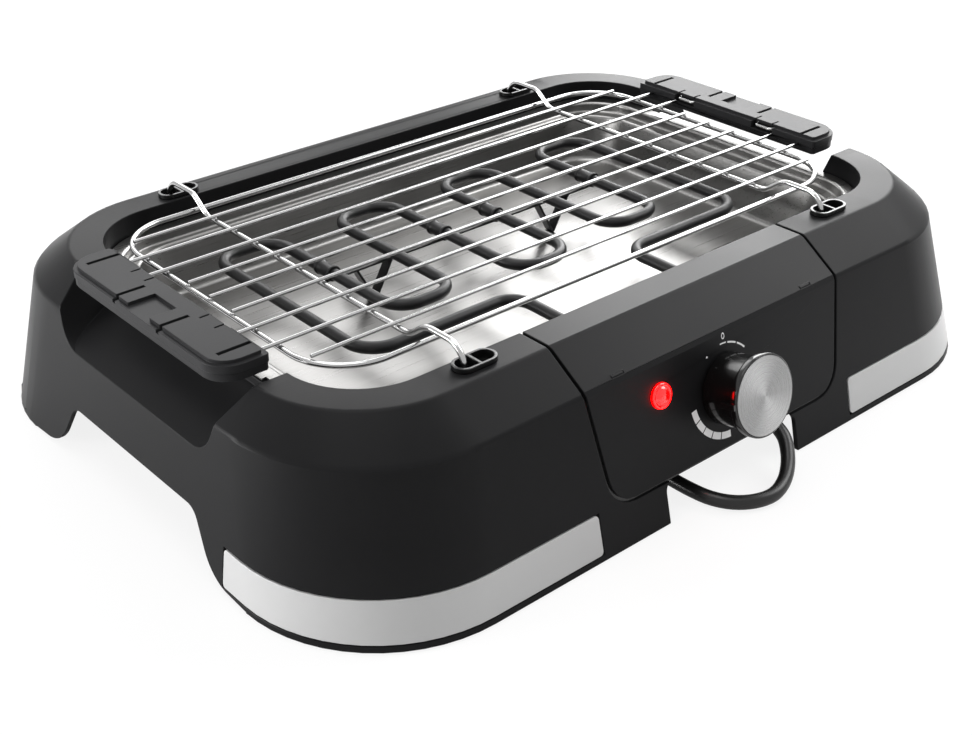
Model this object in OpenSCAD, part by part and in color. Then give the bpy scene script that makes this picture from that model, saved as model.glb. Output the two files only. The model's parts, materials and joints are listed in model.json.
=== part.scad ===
// Table-top electric barbecue grill: moulded housing, drip tray, plug-in control
// unit with a tubular heating element, and a lift-off wire rack with two handles.
// Origin: on the table, under the middle of the whole grill without its mains lead.
// +X runs along the length, -Y is the control side. Below, sub-parts are drawn about the
// middle of the base, and piece() moves them to the origin.

/* [Housing] */
// Length over the base
body_l = 487; // [440:1:600]
// Width over the base
body_w = 368; // [340:1:460]
// Height of the rim above the table
body_h = 97.4; // [92:0.2:120]
// Height of the shoulder edge, where the slanted shoulder starts
shoulder_h = 82; // [78:0.5:90]
// Length of the flat rim, outside
rim_l = 428; // [400:1:460]
// Width of the flat rim, outside
rim_w = 280; // [262:1:310]
// Length of the cooking opening
opening_l = 392; // [370:1:410]
// Width of the cooking opening
opening_w = 241; // [225:1:250]
// Corner radius of the base
corner_r = 80; // [60:1:95]
// Corner radius of the rim, outside
rim_r = 60; // [45:1:70]
// Corner radius of the cooking opening
opening_r = 40.5; // [34:0.5:48]
// Wall thickness of the moulding
wall = 2.6; // [2:0.1:3.4]
// How far the rubber feet hold the skirt above the table
foot_lift = 0.8; // [0.5:0.1:3]

/* [Control unit] */
// Half-width of the control panel at the shoulder
panel_half = 91.5; // [84:0.5:98]
// Height of the panel's lower edge
panel_z = 23.3; // [20:0.1:30]
// Height of the knob axis on the panel
knob_z = 53.3; // [46:0.1:58]
// Radius of the knob's front flange
knob_r = 21.2; // [17:0.1:24]
// How far the knob stands out of the panel
knob_out = 25.2; // [20:0.2:30]
// Direction of the knob's pointer, degrees from +X seen from the front
pointer_angle = 176; // [0:1:359]

/* [Heating element] */
// Diameter of the heating tube
tube_d = 6.5; // [6:0.1:8]
// Height of the heating tube's centreline
tube_z = 76; // [74:0.5:78]
// Distance of the cold ends from the middle
terminal_x = 42; // [36:0.5:46]

/* [Drip tray] */
// Height of the tray's floor
tray_floor = 49; // [44:0.5:54]
// Sheet thickness of the tray
tray_t = 1; // [0.8:0.1:1.2]

/* [Rack] */
// Sideways place of the rack, set by the socket chamber that holds it
rack_shift = -5.8; // [-5.8, 5.8]
// Diameter of the nine grill rods
rod_d = 2; // [1.6:0.1:2.4]
// Diameter of the frame wire and of the two cross wires
wire_d = 3; // [2.6:0.1:3.4]
// Pitch of the grill rods
rod_pitch = 20; // [18:0.5:20]
// Half-length of the rack's frame
frame_half_l = 181; // [176:0.5:184]
// Half-width of the rack's frame
frame_half_w = 99.5; // [96:0.5:104]
// Length of each handle
handle_l = 144; // [130:1:146]
// Width of each handle
handle_w = 27.5; // [22:0.5:30]

/* [Hidden] */
$fn = 48;
eps = 0.01;
seat = 0.3;              // gap between a piece and what it rests on
corner_steps = 14;       // facets round one corner of a lofted shell

// Housing
end_flare = 0.14;        // the ends lean in by this share of the height
side_flare = 0.25;       // and the long sides by this
panel_tilt = atan(side_flare);
shelf_w = 5;             // ledge that carries the tray, inwards from the opening
ledge_top = body_h - 13;
ledge_t = 2.5;
pocket_z = 63.7;         // lower edge of the hand recess in the end wall
pocket_half_top = 79.3;
pocket_half_low = 66;
pocket_r = 16;
pocket_slope = 0.448;    // fall of the recess floor, outwards
pocket_inner = body_h - 16.4;
arch_h = 32;             // arch between the feet at both ends
cutout_half = 49;        // opening under the control panel, and its twin at the back
cutout_h = 22.6;
cutout_r = 6;
foot_x = 150;
foot_y = body_w / 2 - 11;
foot_d = 14;
boss_d = 17;

// Trim bands round the four base corners
band_z = 4.5;
band_h = 20;
band_x = 95;             // where a band ends on the long side
band_y = 85;             // and on the end
band_t = 1.3;
band_proud = 0.2;
band_groove = 0.6;

// Sockets that the rack's wire ends stand in
socket_x = 128.2;
socket_y = 128.6;
socket_l = 24;
socket_w = 12;
socket_h = 2.6;
chamber_l = 21;          // both chambers with the divider between them
chamber_w = 9;
divider = 1.6;
deep_floor = body_h - 7.9;
shallow_floor = body_h - 2;
socket_body_l = 23;
socket_body_w = 11;
curtain_t = 2.2;

// Control unit
panel_t = 2.4;
panel_gap = 1.6;         // black joint line round the panel
panel_half_low = 83;
panel_r = 16;
flange_depth = 10;
box_half = 79;
box_z = 28;
box_t = 2;
box_back = -(opening_w / 2 + 2.9);
shelf_in = 62;           // shelves of the housing that the control box stands on
shelf_y = 165;
shelf_z = box_z - seat - ledge_t;
cheek_x = panel_half + 1.9;
cheek_t = 2.4;
boss_x = 69;
boss_z = [38, 80];
screw_d = 3;
shaft_d = 6;
shaft_clear = 0.05;
thermostat_d = 30;
thermostat_h = 20;
lamp_x = -45.4;
lamp_z = 65.3;
lamp_r = 6.5;
lamp_bore_r = 4.9;
nose_x = 38;             // cord outlet under the control box
nose_half = 10;
nose_y = [-146, -126];
nose_z = 11;
relief_z = 19;
cord_d = 7.5;

// Heating element: eight legs, joined at the back and at the front
legs = [19.5, 58, 98, 137.5];
back_y = 80;
mid_y = -41;             // front bend of the two middle legs
front_y = -33;           // front bends beside them
run_y = -60;             // long front run to the control unit
bend_back = 15;
bend_front = 17;
bend_run = 13;
strip_y = 29;
strip_w = 6;
strip_t = 1.2;
strip_z = tube_z - tube_d / 2 - 2.6;
vee_x = 68;
vee_half = 13;
sleeve_d = tube_d + 2.6;
sleeve_l = 13;
plate_t = 1.2;
plate_half = 55;

// Drip tray, half-length, half-width and corner radius of each level
tray_edge = [opening_l / 2 - 1, opening_w / 2 - 1, opening_r - 1];
tray_step = [opening_l / 2 - 7.5, opening_w / 2 - 7.5, opening_r - 6];
tray_wall = [opening_l / 2 - 15.5, opening_w / 2 - 12, opening_r - 9];
tray_foot = [opening_l / 2 - 22, opening_w / 2 - 15.5, opening_r - 12];
tray_rim_z = ledge_top + seat;
tray_step_z = tray_rim_z - 5.6;
tray_lip_half = 59.4;
tray_lip = 2.4;
tray_notch_half = 50;
tray_notch_z = tube_z - 6;

// Rack
frame_z = body_h + 0.9;
rod_z = frame_z + wire_d / 2 + rod_d / 2 + 0.2;
frame_r = 32;
short_rod = 177.5;
long_rod = 205;
hump_z = body_h + 10.2;
hump_in = 89;
hump_out = hump_in + (hump_z - frame_z) * 4 / 3;
wire_end_z = deep_floor + seat;
handle_in = 193.5;
handle_r = 14;
handle_z = body_h - 0.4;
handle_split = rod_z + 0.1;
handle_top_z = body_h + 9.6;
handle_step = 1.8;
handle_inset = 2.2;
loop_y = [25.4, 38.3];
loop_z = handle_split + 2.2;
loop_d = 2;

// Mains lead: its way over the table by hand, then a round coil
cord_path = [
    [38, -168, 18.8], [37, -176, 18.2], [34.5, -184, 16], [30.5, -190, 12.5],
    [24, -196, 8.5], [15, -201, 5.4], [4, -203.5, 4], [-7, -201, 3.8],
    [-16, -194.5, 3.8], [-21.5, -185, 3.8], [-23.5, -174, 3.8], [-24, -160, 3.8],
    [-24, -130, 3.8], [-23, -90, 3.8], [-22, -50, 3.8], [-22, 0, 3.8],
    [-22, 50, 3.8], [-22, 100, 3.8], [-22, 150, 3.8], [-22, 190, 3.8], [-22, 231, 3.8]];
coil_at = [19, 231];
coil_r = 41;
coil_turns = 3.25;
coil_h = cord_d * (coil_turns + 1);
tail_path = [
    [19, 272, 28.1], [29, 272, 27], [41, 272, 23.6], [54, 272, 18],
    [66, 272, 12.8], [78, 272, 9.2], [90, 272, 8]];
plug_l = 36;
plug_w = 26;
plug_h = 16;
pin_d = 4.8;
pin_l = 19;

// ---------------------------------------------------------------- shapes

function unit(v) = v / norm(v);
function arc(c, r, a0, a1, n) =
    [for (i = [0:n]) c + r * [cos(a0 + (a1 - a0) * i / n), sin(a0 + (a1 - a0) * i / n)]];
function bearing(v) = atan2(v.y, v.x);
function corner_angle(a, b, c) = acos(unit(a - b) * unit(c - b));
function corner_trim(a, b, c, r) = r / tan(corner_angle(a, b, c) / 2);
function corner_centre(a, b, c, r) =
    b + unit(unit(a - b) + unit(c - b)) * r / sin(corner_angle(a, b, c) / 2);
function signed(a) = a - 360 * floor((a + 180) / 360);

// The corner at b of the path a, b, c, rounded with radius r
function turn(a, b, c, r, n = 6) = let (
    m = corner_centre(a, b, c, r),
    t = corner_trim(a, b, c, r),
    a0 = bearing(b + unit(a - b) * t - m),
    sweep = signed(bearing(b + unit(c - b) * t - m) - a0))
    arc(m, r, a0, a0 + sweep, n);

// Closed outline with each corner rounded by its own radius
function rounded(p, r) = [for (i = [0:len(p) - 1])
    each turn(p[(i + len(p) - 1) % len(p)], p[i], p[(i + 1) % len(p)], r[i])];

// Rounded rectangle as points, anticlockwise from above
function ring(hx, hy, r, n = corner_steps) = concat(
    arc([hx - r, hy - r], r, 0, 90, n), arc([r - hx, hy - r], r, 90, 180, n),
    arc([r - hx, r - hy], r, 180, 270, n), arc([hx - r, r - hy], r, 270, 360, n));

// Closed skin over levels of [z, half-length, half-width, corner radius]
module loft(levels) {
    m = 4 * (corner_steps + 1);
    last = len(levels) - 1;
    points = [for (l = levels) for (p = ring(l[1], l[2], l[3])) [p.x, p.y, l[0]]];
    sides = [for (k = [0:last - 1]) for (i = [0:m - 1])
        let (a = k * m + i, b = k * m + (i + 1) % m) each [[a, a + m, b + m], [a, b + m, b]]];
    bottom = [[for (i = [0:m - 1]) i]];
    top = [[for (i = [m - 1:-1:0]) last * m + i]];
    polyhedron(points = points, faces = concat(bottom, sides, top));
}

// Tube of n sides swept along a path that never runs upright
module sweep(path, first, last, r, n = 10) {
    k = len(path) - 1;
    way = [for (i = [0:k]) i == 0 ? first : i == k ? last : unit(path[i + 1] - path[i - 1])];
    points = [for (i = [0:k])
        let (side = unit(cross(way[i], [0, 0, 1])), up = cross(side, way[i]))
            for (j = [0:n - 1]) path[i] + r * (cos(360 * j / n) * side + sin(360 * j / n) * up)];
    sides = [for (i = [0:k - 1]) for (j = [0:n - 1])
        let (a = i * n + j, b = i * n + (j + 1) % n) each [[a, b, b + n], [a, b + n, a + n]]];
    ends = [[for (j = [n - 1:-1:0]) j], [for (j = [0:n - 1]) k * n + j]];
    polyhedron(points = points, faces = concat(sides, ends));
}

// Round bar from a to b
module bar(a, b, d) {
    v = b - a;
    translate(a) rotate([0, acos(v.z / norm(v)), atan2(v.y, v.x)]) cylinder(d = d, h = norm(v));
}

// Round wire in the XY plane: straight stretches with rounded corners between them,
// exact where slopes are in round numbers, such as 3 in 4
module bent(p, r, d) {
    k = len(p) - 1;
    trim = [for (i = [0:k]) i == 0 || i == k ? 0 : corner_trim(p[i - 1], p[i], p[i + 1], r[i])];
    for (i = [0:k - 1]) {
        u = unit(p[i + 1] - p[i]);
        a = p[i] + u * trim[i];
        b = p[i + 1] - u * trim[i + 1];
        if (norm(b - a) > 0.05 && (b - a) * u > 0) bar([a.x, a.y, 0], [b.x, b.y, 0], d);
    }
    for (i = [1:k - 1]) {
        m = corner_centre(p[i - 1], p[i], p[i + 1], r[i]);
        a0 = bearing(p[i] + unit(p[i - 1] - p[i]) * trim[i] - m);
        angle = signed(bearing(p[i] + unit(p[i + 1] - p[i]) * trim[i] - m) - a0);
        translate([m.x, m.y, 0]) rotate(angle > 0 ? a0 : a0 + angle)
            rotate_extrude(angle = abs(angle)) translate([r[i], 0]) circle(d = d);
    }
}

// Flat shape with two round ends, long along X
module oval(l, w) {
    square([l - w, w], center = true);
    for (s = [-1, 1]) translate([s * (l - w) / 2, 0]) circle(d = w);
}

// Outlines drawn in X and Z and run along Y, or drawn in Y and Z and run along X
module along_y(y0, y1) translate([0, y1, 0]) rotate([90, 0, 0]) linear_extrude(y1 - y0) children();
module along_x(x0, x1) translate([x0, 0, 0]) rotate([90, 0, 90]) linear_extrude(x1 - x0) children();

module box(a, b) translate(a) cube(b - a);
module both_ends() for (a = [0, 180]) rotate(a) children();
module both_sides() { children(); mirror([1, 0, 0]) children(); }
module four_corners() for (x = [0, 1], y = [0, 1]) mirror([x, 0, 0]) mirror([0, y, 0]) children();

// ---------------------------------------------------------------- outer skin

function skin_x(z) = body_l / 2 - end_flare * z;
function skin_y(z) = body_w / 2 - side_flare * z;
function wall_level(z, inset) = [z, skin_x(z) - inset, skin_y(z) - inset, corner_r - inset];

// The whole outer form, or the same form shrunk by a wall thickness t
module form(t, bottom) {
    edge = t == 0 ? 1.6 : 0;      // width of the two soft edges of the shoulder
    low = shoulder_h - 0.62 * t;
    top = body_h - t;
    side = (skin_y(shoulder_h) - rim_w / 2) / (body_h - shoulder_h);
    end = (skin_x(shoulder_h) - rim_l / 2) / (body_h - shoulder_h);
    rim = [top, rim_l / 2 - 0.34 * t, rim_w / 2 - 0.31 * t, rim_r - 0.3 * t];
    inset = 1.02 * t;
    shoulder = wall_level(low, inset);
    loft(t > 0 ? [wall_level(bottom, inset), shoulder, rim] : [
        wall_level(bottom, 0), wall_level(low - edge, 0),
        [low + 0.7, shoulder[1] - end * 0.7 - 0.2, shoulder[2] - side * 0.7 - 0.3, corner_r],
        [top - 0.7, rim[1] + end * 0.7 - 0.2, rim[2] + side * 0.7 - 0.3, rim_r],
        [top, rim[1] - edge, rim[2] - edge, rim_r - edge]]);
}

// Places children on the sloping front face: local Z points out of it, local Y up it
module on_face(x, z, out = 0)
    translate([x, -skin_y(z), z]) rotate([90 - panel_tilt, 0, 0]) translate([0, 0, out]) children();

// Outline of the control panel seen from the front, grown by g
module panel_outline(g) {
    top = body_h + 20;
    half = panel_half + g;
    low = panel_half_low + g;
    polygon(concat(
        [[half + 0.7, top], [-half - 0.7, top], [-half, shoulder_h]],
        turn([-half, shoulder_h], [-low, panel_z - g], [low, panel_z - g], panel_r + g),
        turn([-low, panel_z - g], [low, panel_z - g], [half, shoulder_h], panel_r + g),
        [[half, shoulder_h]]));
}

module opening(z0, z1, g = 0) translate([0, 0, z0]) linear_extrude(z1 - z0)
    polygon(ring(opening_l / 2 + g, opening_w / 2 + g, opening_r + g));

// Moves a sub-part so that the origin is the middle of the whole grill, knob included
front_reach = skin_y(knob_z) + knob_out * cos(panel_tilt) + (knob_r - 1) * sin(panel_tilt);
middle_y = (front_reach - skin_y(foot_lift)) / 2;
module piece(c) translate([0, middle_y, 0]) color(c) children();

// ---------------------------------------------------------------- housing

module recess_outline(g) {
    top = body_h + 6;
    wide = pocket_half_top + 2.6 + g;
    low = [pocket_half_low + g * 0.7, pocket_z - g];
    polygon(concat([[wide, top], [-wide, top]],
        turn([-wide, top], [-low.x, low.y], [low.x, low.y], pocket_r + g),
        turn([-low.x, low.y], [low.x, low.y], [wide, top], pocket_r + g)));
}

// Everything above the sloping floor of the hand recess
module above_recess_floor(drop, x0) {
    x1 = body_l / 2 + 6;
    level = pocket_inner - drop + pocket_slope * opening_l / 2;
    translate([0, 100, 0]) rotate([90, 0, 0]) linear_extrude(200) polygon([
        [x0, level - pocket_slope * x0], [x1, level - pocket_slope * x1],
        [x1, body_h + 10], [x0, body_h + 10]]);
}

module recess_cut() {
    edge = opening_l / 2 + curtain_t;
    intersection() {
        along_x(edge, body_l / 2 + 5) recess_outline(0);
        above_recess_floor(0, edge - 1);
    }
    intersection() {
        along_x(opening_l / 2 - shelf_w - 2, edge + eps) recess_outline(0);
        box([opening_l / 2 - shelf_w - 3, -100, ledge_top], [edge + 1, 100, body_h + 5]);
    }
}

module recess_lining() {
    edge = opening_l / 2;
    intersection() {
        form(0, 40);
        along_x(edge, body_l / 2) recess_outline(ledge_t);
        above_recess_floor(ledge_t, edge - 1);
    }
    box([edge, -80, pocket_inner - 3], [edge + curtain_t, 80, ledge_top]);
}

module band_zone(g) box([band_x - g, band_y - g, band_z - g],
    [body_l / 2 + 2, body_w / 2 + 2, band_z + band_h + g]);

module band_skin(out, inset) difference() {
    loft([wall_level(1, -out), wall_level(30, -out)]);
    loft([wall_level(0, inset), wall_level(31, inset)]);
}

module housing_shell() {
    difference() {
        form(0, foot_lift);
        form(wall, foot_lift - 1);
    }
    difference() {
        opening(ledge_top - ledge_t, body_h - eps, curtain_t);
        opening(ledge_top, body_h + 1);
        opening(ledge_top - 5, body_h, -shelf_w);
    }
    both_ends() recess_lining();
    intersection() {
        form(0, foot_lift + 2);
        four_corners() translate([foot_x, foot_y, foot_lift + 2.5]) cylinder(d = boss_d, h = 16);
    }
}

module housing() piece([0.06, 0.06, 0.065]) {
    difference() {
        housing_shell();
        opening(ledge_top, body_h + 1);
        both_ends() recess_cut();
        along_x(-body_l / 2 - 5, body_l / 2 + 5) polygon([
            [-76, -1], [76, -1], [76, 0], [69, 11], [64, 18], [58, 25], [50, arch_h],
            [-50, arch_h], [-58, 25], [-64, 18], [-69, 11], [-76, 0]]);
        along_y(-body_w / 2 - 5, body_w / 2 + 5) polygon(concat(
            [[cutout_half, -1], [cutout_half, 0]],
            turn([cutout_half, 0], [cutout_half, cutout_h], [-cutout_half, cutout_h], cutout_r),
            turn([cutout_half, cutout_h], [-cutout_half, cutout_h], [-cutout_half, 0], cutout_r),
            [[-cutout_half, 0], [-cutout_half, -1]]));
        along_y(-body_w / 2 - 5, -opening_w / 2 + shelf_w + 2) panel_outline(panel_gap);
        intersection() {
            band_skin(2, band_t - band_proud + 0.1);
            four_corners() band_zone(band_groove);
        }
        four_corners() translate([socket_x, socket_y, body_h - 8])
            linear_extrude(10) oval(socket_body_l + 0.4, socket_body_w + 0.4);
        four_corners() translate([foot_x, foot_y, foot_lift]) cylinder(d = screw_d + 0.1, h = 13);
    }
    bay_sides();
}

// Side walls of the bay behind the control panel, with the shelves it stands on
module bay_sides() intersection() {
    form(0, 10);
    both_sides() {
        box([cheek_x, -skin_y(0), shelf_z], [cheek_x + cheek_t, -opening_w / 2, body_h]);
        box([shelf_in, -shelf_y, shelf_z], [cheek_x + 1, -opening_w / 2, box_z - seat]);
    }
}

module trim_band(turned) piece([0.72, 0.72, 0.72]) intersection() {
    band_skin(band_proud, band_t - band_proud);
    mirror([turned.x, 0, 0]) mirror([0, turned.y, 0]) band_zone(0);
}

module trim_front_left() trim_band([1, 1]);
module trim_front_right() trim_band([0, 1]);
module trim_rear_left() trim_band([1, 0]);
module trim_rear_right() trim_band([0, 0]);

module chamber(side) intersection() {
    oval(chamber_l, chamber_w);
    translate([side * (chamber_l / 2 + divider / 2), 0]) square([chamber_l, chamber_w], center = true);
}

module rack_sockets() piece([0.05, 0.05, 0.05])
    for (x = [-socket_x, socket_x], y = [-socket_y, socket_y]) translate([x, y, 0]) difference() {
        union() {
            translate([0, 0, body_h + 0.05]) linear_extrude(socket_h) oval(socket_l, socket_w);
            translate([0, 0, deep_floor - 1.4]) linear_extrude(body_h + 1.6 - deep_floor)
                oval(socket_body_l, socket_body_w);
        }
        translate([0, 0, deep_floor]) linear_extrude(20) chamber(-1);
        translate([0, 0, shallow_floor]) linear_extrude(20) chamber(1);
    }

module rubber_feet() piece([0.08, 0.08, 0.08])
    four_corners() translate([foot_x, foot_y, 0]) difference() {
        cylinder(d = foot_d, h = foot_lift + 2.4);
        translate([0, 0, -1]) cylinder(d = 6.4, h = 2.2);
        cylinder(d = screw_d + 0.2, h = 10);
    }

module foot_screws() piece([0.6, 0.6, 0.62])
    four_corners() translate([foot_x, foot_y, 0.25]) {
        cylinder(d = 5.8, h = 0.9);
        cylinder(d = screw_d, h = 11);
    }

// ---------------------------------------------------------------- drip tray

function shrink(l, t) = [l[0] - t, l[1] - t, l[2] - t];

module drip_tray() piece([0.78, 0.78, 0.77]) difference() {
    union() {
        loft([concat(tray_floor - tray_t, tray_foot), concat(tray_step_z - tray_t, tray_wall),
            concat(tray_step_z - tray_t, tray_step), concat(tray_rim_z, tray_step),
            concat(tray_rim_z, tray_edge), concat(tray_rim_z + tray_t, tray_edge)]);
        both_ends() box([tray_edge[0] - 3, -tray_lip_half, tray_rim_z],
            [tray_edge[0] + tray_lip, tray_lip_half, tray_rim_z + tray_t]);
    }
    loft([concat(tray_floor, shrink(tray_foot, tray_t)),
        concat(tray_step_z, shrink(tray_wall, tray_t)),
        concat(tray_step_z, shrink(tray_step, tray_t)),
        concat(tray_rim_z + tray_t + 1, shrink(tray_step, tray_t))]);
    box([-tray_notch_half, -opening_w, tray_notch_z],
        [tray_notch_half, -opening_w / 2 + 24, body_h]);
}

// ---------------------------------------------------------------- control unit

module control_panel() piece([0.07, 0.07, 0.075]) {
    difference() {
        intersection() {
            difference() {
                form(0, 5);
                form(panel_t, 4);
            }
            along_y(-body_w / 2, -opening_w / 2 + 30) panel_outline(0);
        }
        opening(body_h - 20, body_h + 1);
        on_face(0, knob_z, -10) cylinder(d = shaft_d + 1, h = 20);
        on_face(lamp_x, lamp_z, -10) cylinder(r = lamp_bore_r + 0.1, h = 20);
    }
    box([-panel_half + 1, -opening_w / 2 - curtain_t, body_h - flange_depth],
        [panel_half - 1, -opening_w / 2, body_h - panel_t + 0.5]);
    for (x = [-boss_x, boss_x], z = boss_z) difference() {
        box([x - 4, -skin_y(z) + panel_t - 0.3, z - 4], [x + 4, box_back - box_t - seat, z + 4]);
        translate([x, box_back, z]) rotate([90, 0, 0]) cylinder(d = screw_d + 0.1, h = 16);
    }
}

// Box on the back of the panel, open towards it, with an outlet for the lead
module control_box() piece([0.09, 0.09, 0.09]) {
    top = body_h - panel_t - 2;
    difference() {
        intersection() {
            box([-box_half, -body_w / 2, box_z], [box_half, box_back, top]);
            form(panel_t + seat, 0);
        }
        intersection() {
            box([-box_half + box_t, -body_w, box_z + box_t], [box_half - box_t, box_back - box_t, top - box_t]);
            form(panel_t + seat - 0.2, -1);
        }
        box([-box_half - 1, -body_w, box_z + box_t], [box_half + 1, -skin_y(box_z) + 14, top + 1]);
        for (x = [-boss_x, boss_x], z = boss_z) translate([x, box_back + 1, z])
            rotate([90, 0, 0]) cylinder(d = screw_d + 0.4, h = 10);
        for (x = [-terminal_x, terminal_x]) translate([x, box_back + 1, tube_z])
            rotate([90, 0, 0]) cylinder(d = tube_d + 0.2, h = 10);
        translate([nose_x, nose_y[0] + 10, box_z]) cube([8, 8, 10], center = true);
    }
    difference() {
        box([nose_x - nose_half, nose_y[0], nose_z], [nose_x + nose_half, nose_y[1], box_z]);
        box([nose_x - 4, nose_y[0] + 6, nose_z + 3], [nose_x + 4, nose_y[1] - 6, box_z + 1]);
    }
}

module control_screws() piece([0.6, 0.6, 0.62])
    for (x = [-boss_x, boss_x], z = boss_z) translate([x, box_back, z]) rotate([90, 0, 0]) {
        translate([0, 0, -1.7]) cylinder(d = 5.6, h = 1.6);
        translate([0, 0, -0.2]) cylinder(d = screw_d, h = 12);
    }

module thermostat() piece([0.85, 0.83, 0.78]) on_face(0, knob_z) {
    back = -panel_t - 0.1;
    difference() {
        translate([0, 0, back - thermostat_h]) cylinder(d = thermostat_d, h = thermostat_h);
        translate([0, 0, back - 12]) cylinder(d = shaft_d + 2 * shaft_clear, h = 13);
    }
}

module terminal_block() piece([0.85, 0.85, 0.8]) {
    y1 = box_back - box_t - 0.1;
    difference() {
        box([-terminal_x - 9, y1 - 14, tube_z - 15], [terminal_x + 9, y1 - 8.2, tube_z - 6]);
        box([-thermostat_d / 2, y1 - 15, 0], [thermostat_d / 2, y1 - 12, 90]);
    }
    both_sides() box([terminal_x + 5, y1 - 9, tube_z - 14], [terminal_x + 9, y1, tube_z - 8]);
}

module lamp_lens() piece([0.85, 0.05, 0.05]) on_face(lamp_x, lamp_z) {
    intersection() {
        translate([0, 0, 3.4 - 8.2]) sphere(r = 8.2);
        translate([0, 0, 0.1]) cylinder(r = lamp_r, h = 8);
    }
    translate([0, 0, -panel_t]) cylinder(r = lamp_bore_r, h = panel_t + 0.2);
}

module lamp_holder() piece([0.8, 0.8, 0.8]) on_face(lamp_x, lamp_z)
    translate([0, 0, -panel_t - 14]) cylinder(r = lamp_bore_r + 1.6, h = 13.9);

// Tapered sleeve where the lead leaves the control box
module strain_relief() piece([0.04, 0.04, 0.04])
    translate([nose_x, nose_y[0], relief_z]) rotate([90, 0, 0]) {
        cylinder(r = 6.9, h = 2.5);
        cylinder(r1 = 5.8, r2 = cord_d / 2 + 0.5, h = -cord_path[0].y + nose_y[0]);
    }

// ---------------------------------------------------------------- knob

module knob() piece([0.03, 0.03, 0.03]) on_face(0, knob_z) {
    front = knob_out - 0.3;
    difference() {
        union() {
            translate([0, 0, 0.6]) cylinder(r = knob_r - 2.8, h = front - 0.6);
            translate([0, 0, front - 4]) cylinder(r = knob_r, h = 4);
            rotate(pointer_angle) box([knob_r - 4, -1.5, front - 9], [knob_r + 1.2, 1.5, front]);
        }
        translate([0, 0, front - 0.8]) cylinder(r = knob_r - 0.9, h = 2);
        translate([0, 0, -1]) cylinder(d = shaft_d + 0.1, h = 16);
    }
}

module knob_cap() piece([0.82, 0.82, 0.82]) on_face(0, knob_z, knob_out - 1.05)
    cylinder(r = knob_r - 1, h = 1.05);

module knob_shaft() piece([0.7, 0.7, 0.7]) on_face(0, knob_z)
    translate([0, 0, -panel_t - 10]) cylinder(d = shaft_d, h = panel_t + 24.9);

// ---------------------------------------------------------------- heating element

module heating_element() piece([0.05, 0.05, 0.05]) {
    cold_y = box_back - box_t - 6;
    half = [[terminal_x, cold_y], [terminal_x, run_y], [legs[3], run_y], [legs[3], back_y],
        [legs[2], back_y], [legs[2], front_y], [legs[1], front_y], [legs[1], back_y],
        [legs[0], back_y], [legs[0], mid_y]];
    radii = [0, bend_run, bend_front, bend_back, bend_back, bend_back, bend_back,
        bend_back, bend_back, bend_front];
    path = concat([for (p = half) [-p.x, p.y]], [for (i = [len(half) - 1:-1:0]) half[i]]);
    translate([0, 0, tube_z])
        bent(path, concat(radii, [for (i = [len(radii) - 1:-1:0]) radii[i]]), tube_d);
}

module element_plate() piece([0.6, 0.6, 0.6]) difference() {
    box([-plate_half, box_back + 0.1, tube_z - 8], [plate_half, box_back + 0.1 + plate_t, tube_z + 8]);
    for (x = [-terminal_x, terminal_x]) translate([x, box_back + 5, tube_z])
        rotate([90, 0, 0]) cylinder(d = tube_d + 0.1, h = 10);
}

module element_sleeves() piece([0.12, 0.12, 0.12])
    for (x = [-legs[2], -legs[0], legs[0], legs[2]]) translate([x, strip_y + sleeve_l / 2, tube_z])
        rotate([90, 0, 0]) difference() {
            cylinder(d = sleeve_d, h = sleeve_l);
            translate([0, 0, -1]) cylinder(d = tube_d + 0.1, h = sleeve_l + 2);
        }

// Strip under the sleeves, with two bent wire feet that stand on the tray's floor
module element_support() piece([0.08, 0.08, 0.08]) {
    top = tube_z - sleeve_d / 2 - 0.05;
    low = tray_floor + seat + strip_t;
    box([-legs[2] - 5, strip_y - strip_w / 2, top - strip_t], [legs[2] + 5, strip_y + strip_w / 2, top]);
    both_sides() along_y(strip_y - strip_w / 2, strip_y + strip_w / 2) polygon([
        [vee_x - vee_half, top - strip_t / 2], [vee_x - 1, low - strip_t], [vee_x + 1, low - strip_t],
        [vee_x + vee_half, top - strip_t / 2], [vee_x + vee_half - 1.6, top - strip_t / 2],
        [vee_x, low], [vee_x - vee_half + 1.6, top - strip_t / 2]]);
}

module terminal_pins() piece([0.75, 0.75, 0.72])
    for (x = [-terminal_x, terminal_x]) translate([x, box_back - box_t - 6, tube_z])
        rotate([90, 0, 0]) cylinder(d = 3, h = 10);

// ---------------------------------------------------------------- rack

module rack_frame() piece([0.8, 0.8, 0.8]) translate([rack_shift, 0, frame_z]) {
    k = [frame_half_l, frame_half_w];
    both_ends() bent([[0, -k.y], [k.x, -k.y], [k.x, k.y], [0, k.y]],
        [0, frame_r, frame_r, 0], wire_d);
}

module rack_cross_wires() piece([0.8, 0.8, 0.8])
    for (x = [-socket_x, socket_x]) translate([x + rack_shift, 0, 0]) rotate([90, 0, 90]) bent([
        [-socket_y, wire_end_z], [-socket_y, hump_z], [-hump_out, hump_z], [-hump_in, frame_z],
        [hump_in, frame_z], [hump_out, hump_z], [socket_y, hump_z], [socket_y, wire_end_z]],
        [0, 11, 12, 12, 12, 12, 11, 0], wire_d);

module rack_rods() piece([0.82, 0.82, 0.82]) translate([rack_shift, 0, rod_z])
    for (i = [-4:4]) {
        end = abs(i) < 2 ? frame_half_l : abs(i) < 4 ? long_rod : short_rod;
        bar([-end, i * rod_pitch, 0], [end, i * rod_pitch, 0], rod_d);
    }

module handle_outline(g) polygon(rounded(
    [[handle_in + g, -handle_l / 2 + g], [handle_in + handle_w - g, -handle_l / 2 + g],
        [handle_in + handle_w - g, handle_l / 2 - g], [handle_in + g, handle_l / 2 - g]],
    [2, handle_r - g, handle_r - g, 2]));

module handle_places() translate([rack_shift, 0, 0]) both_ends() children();

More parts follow.
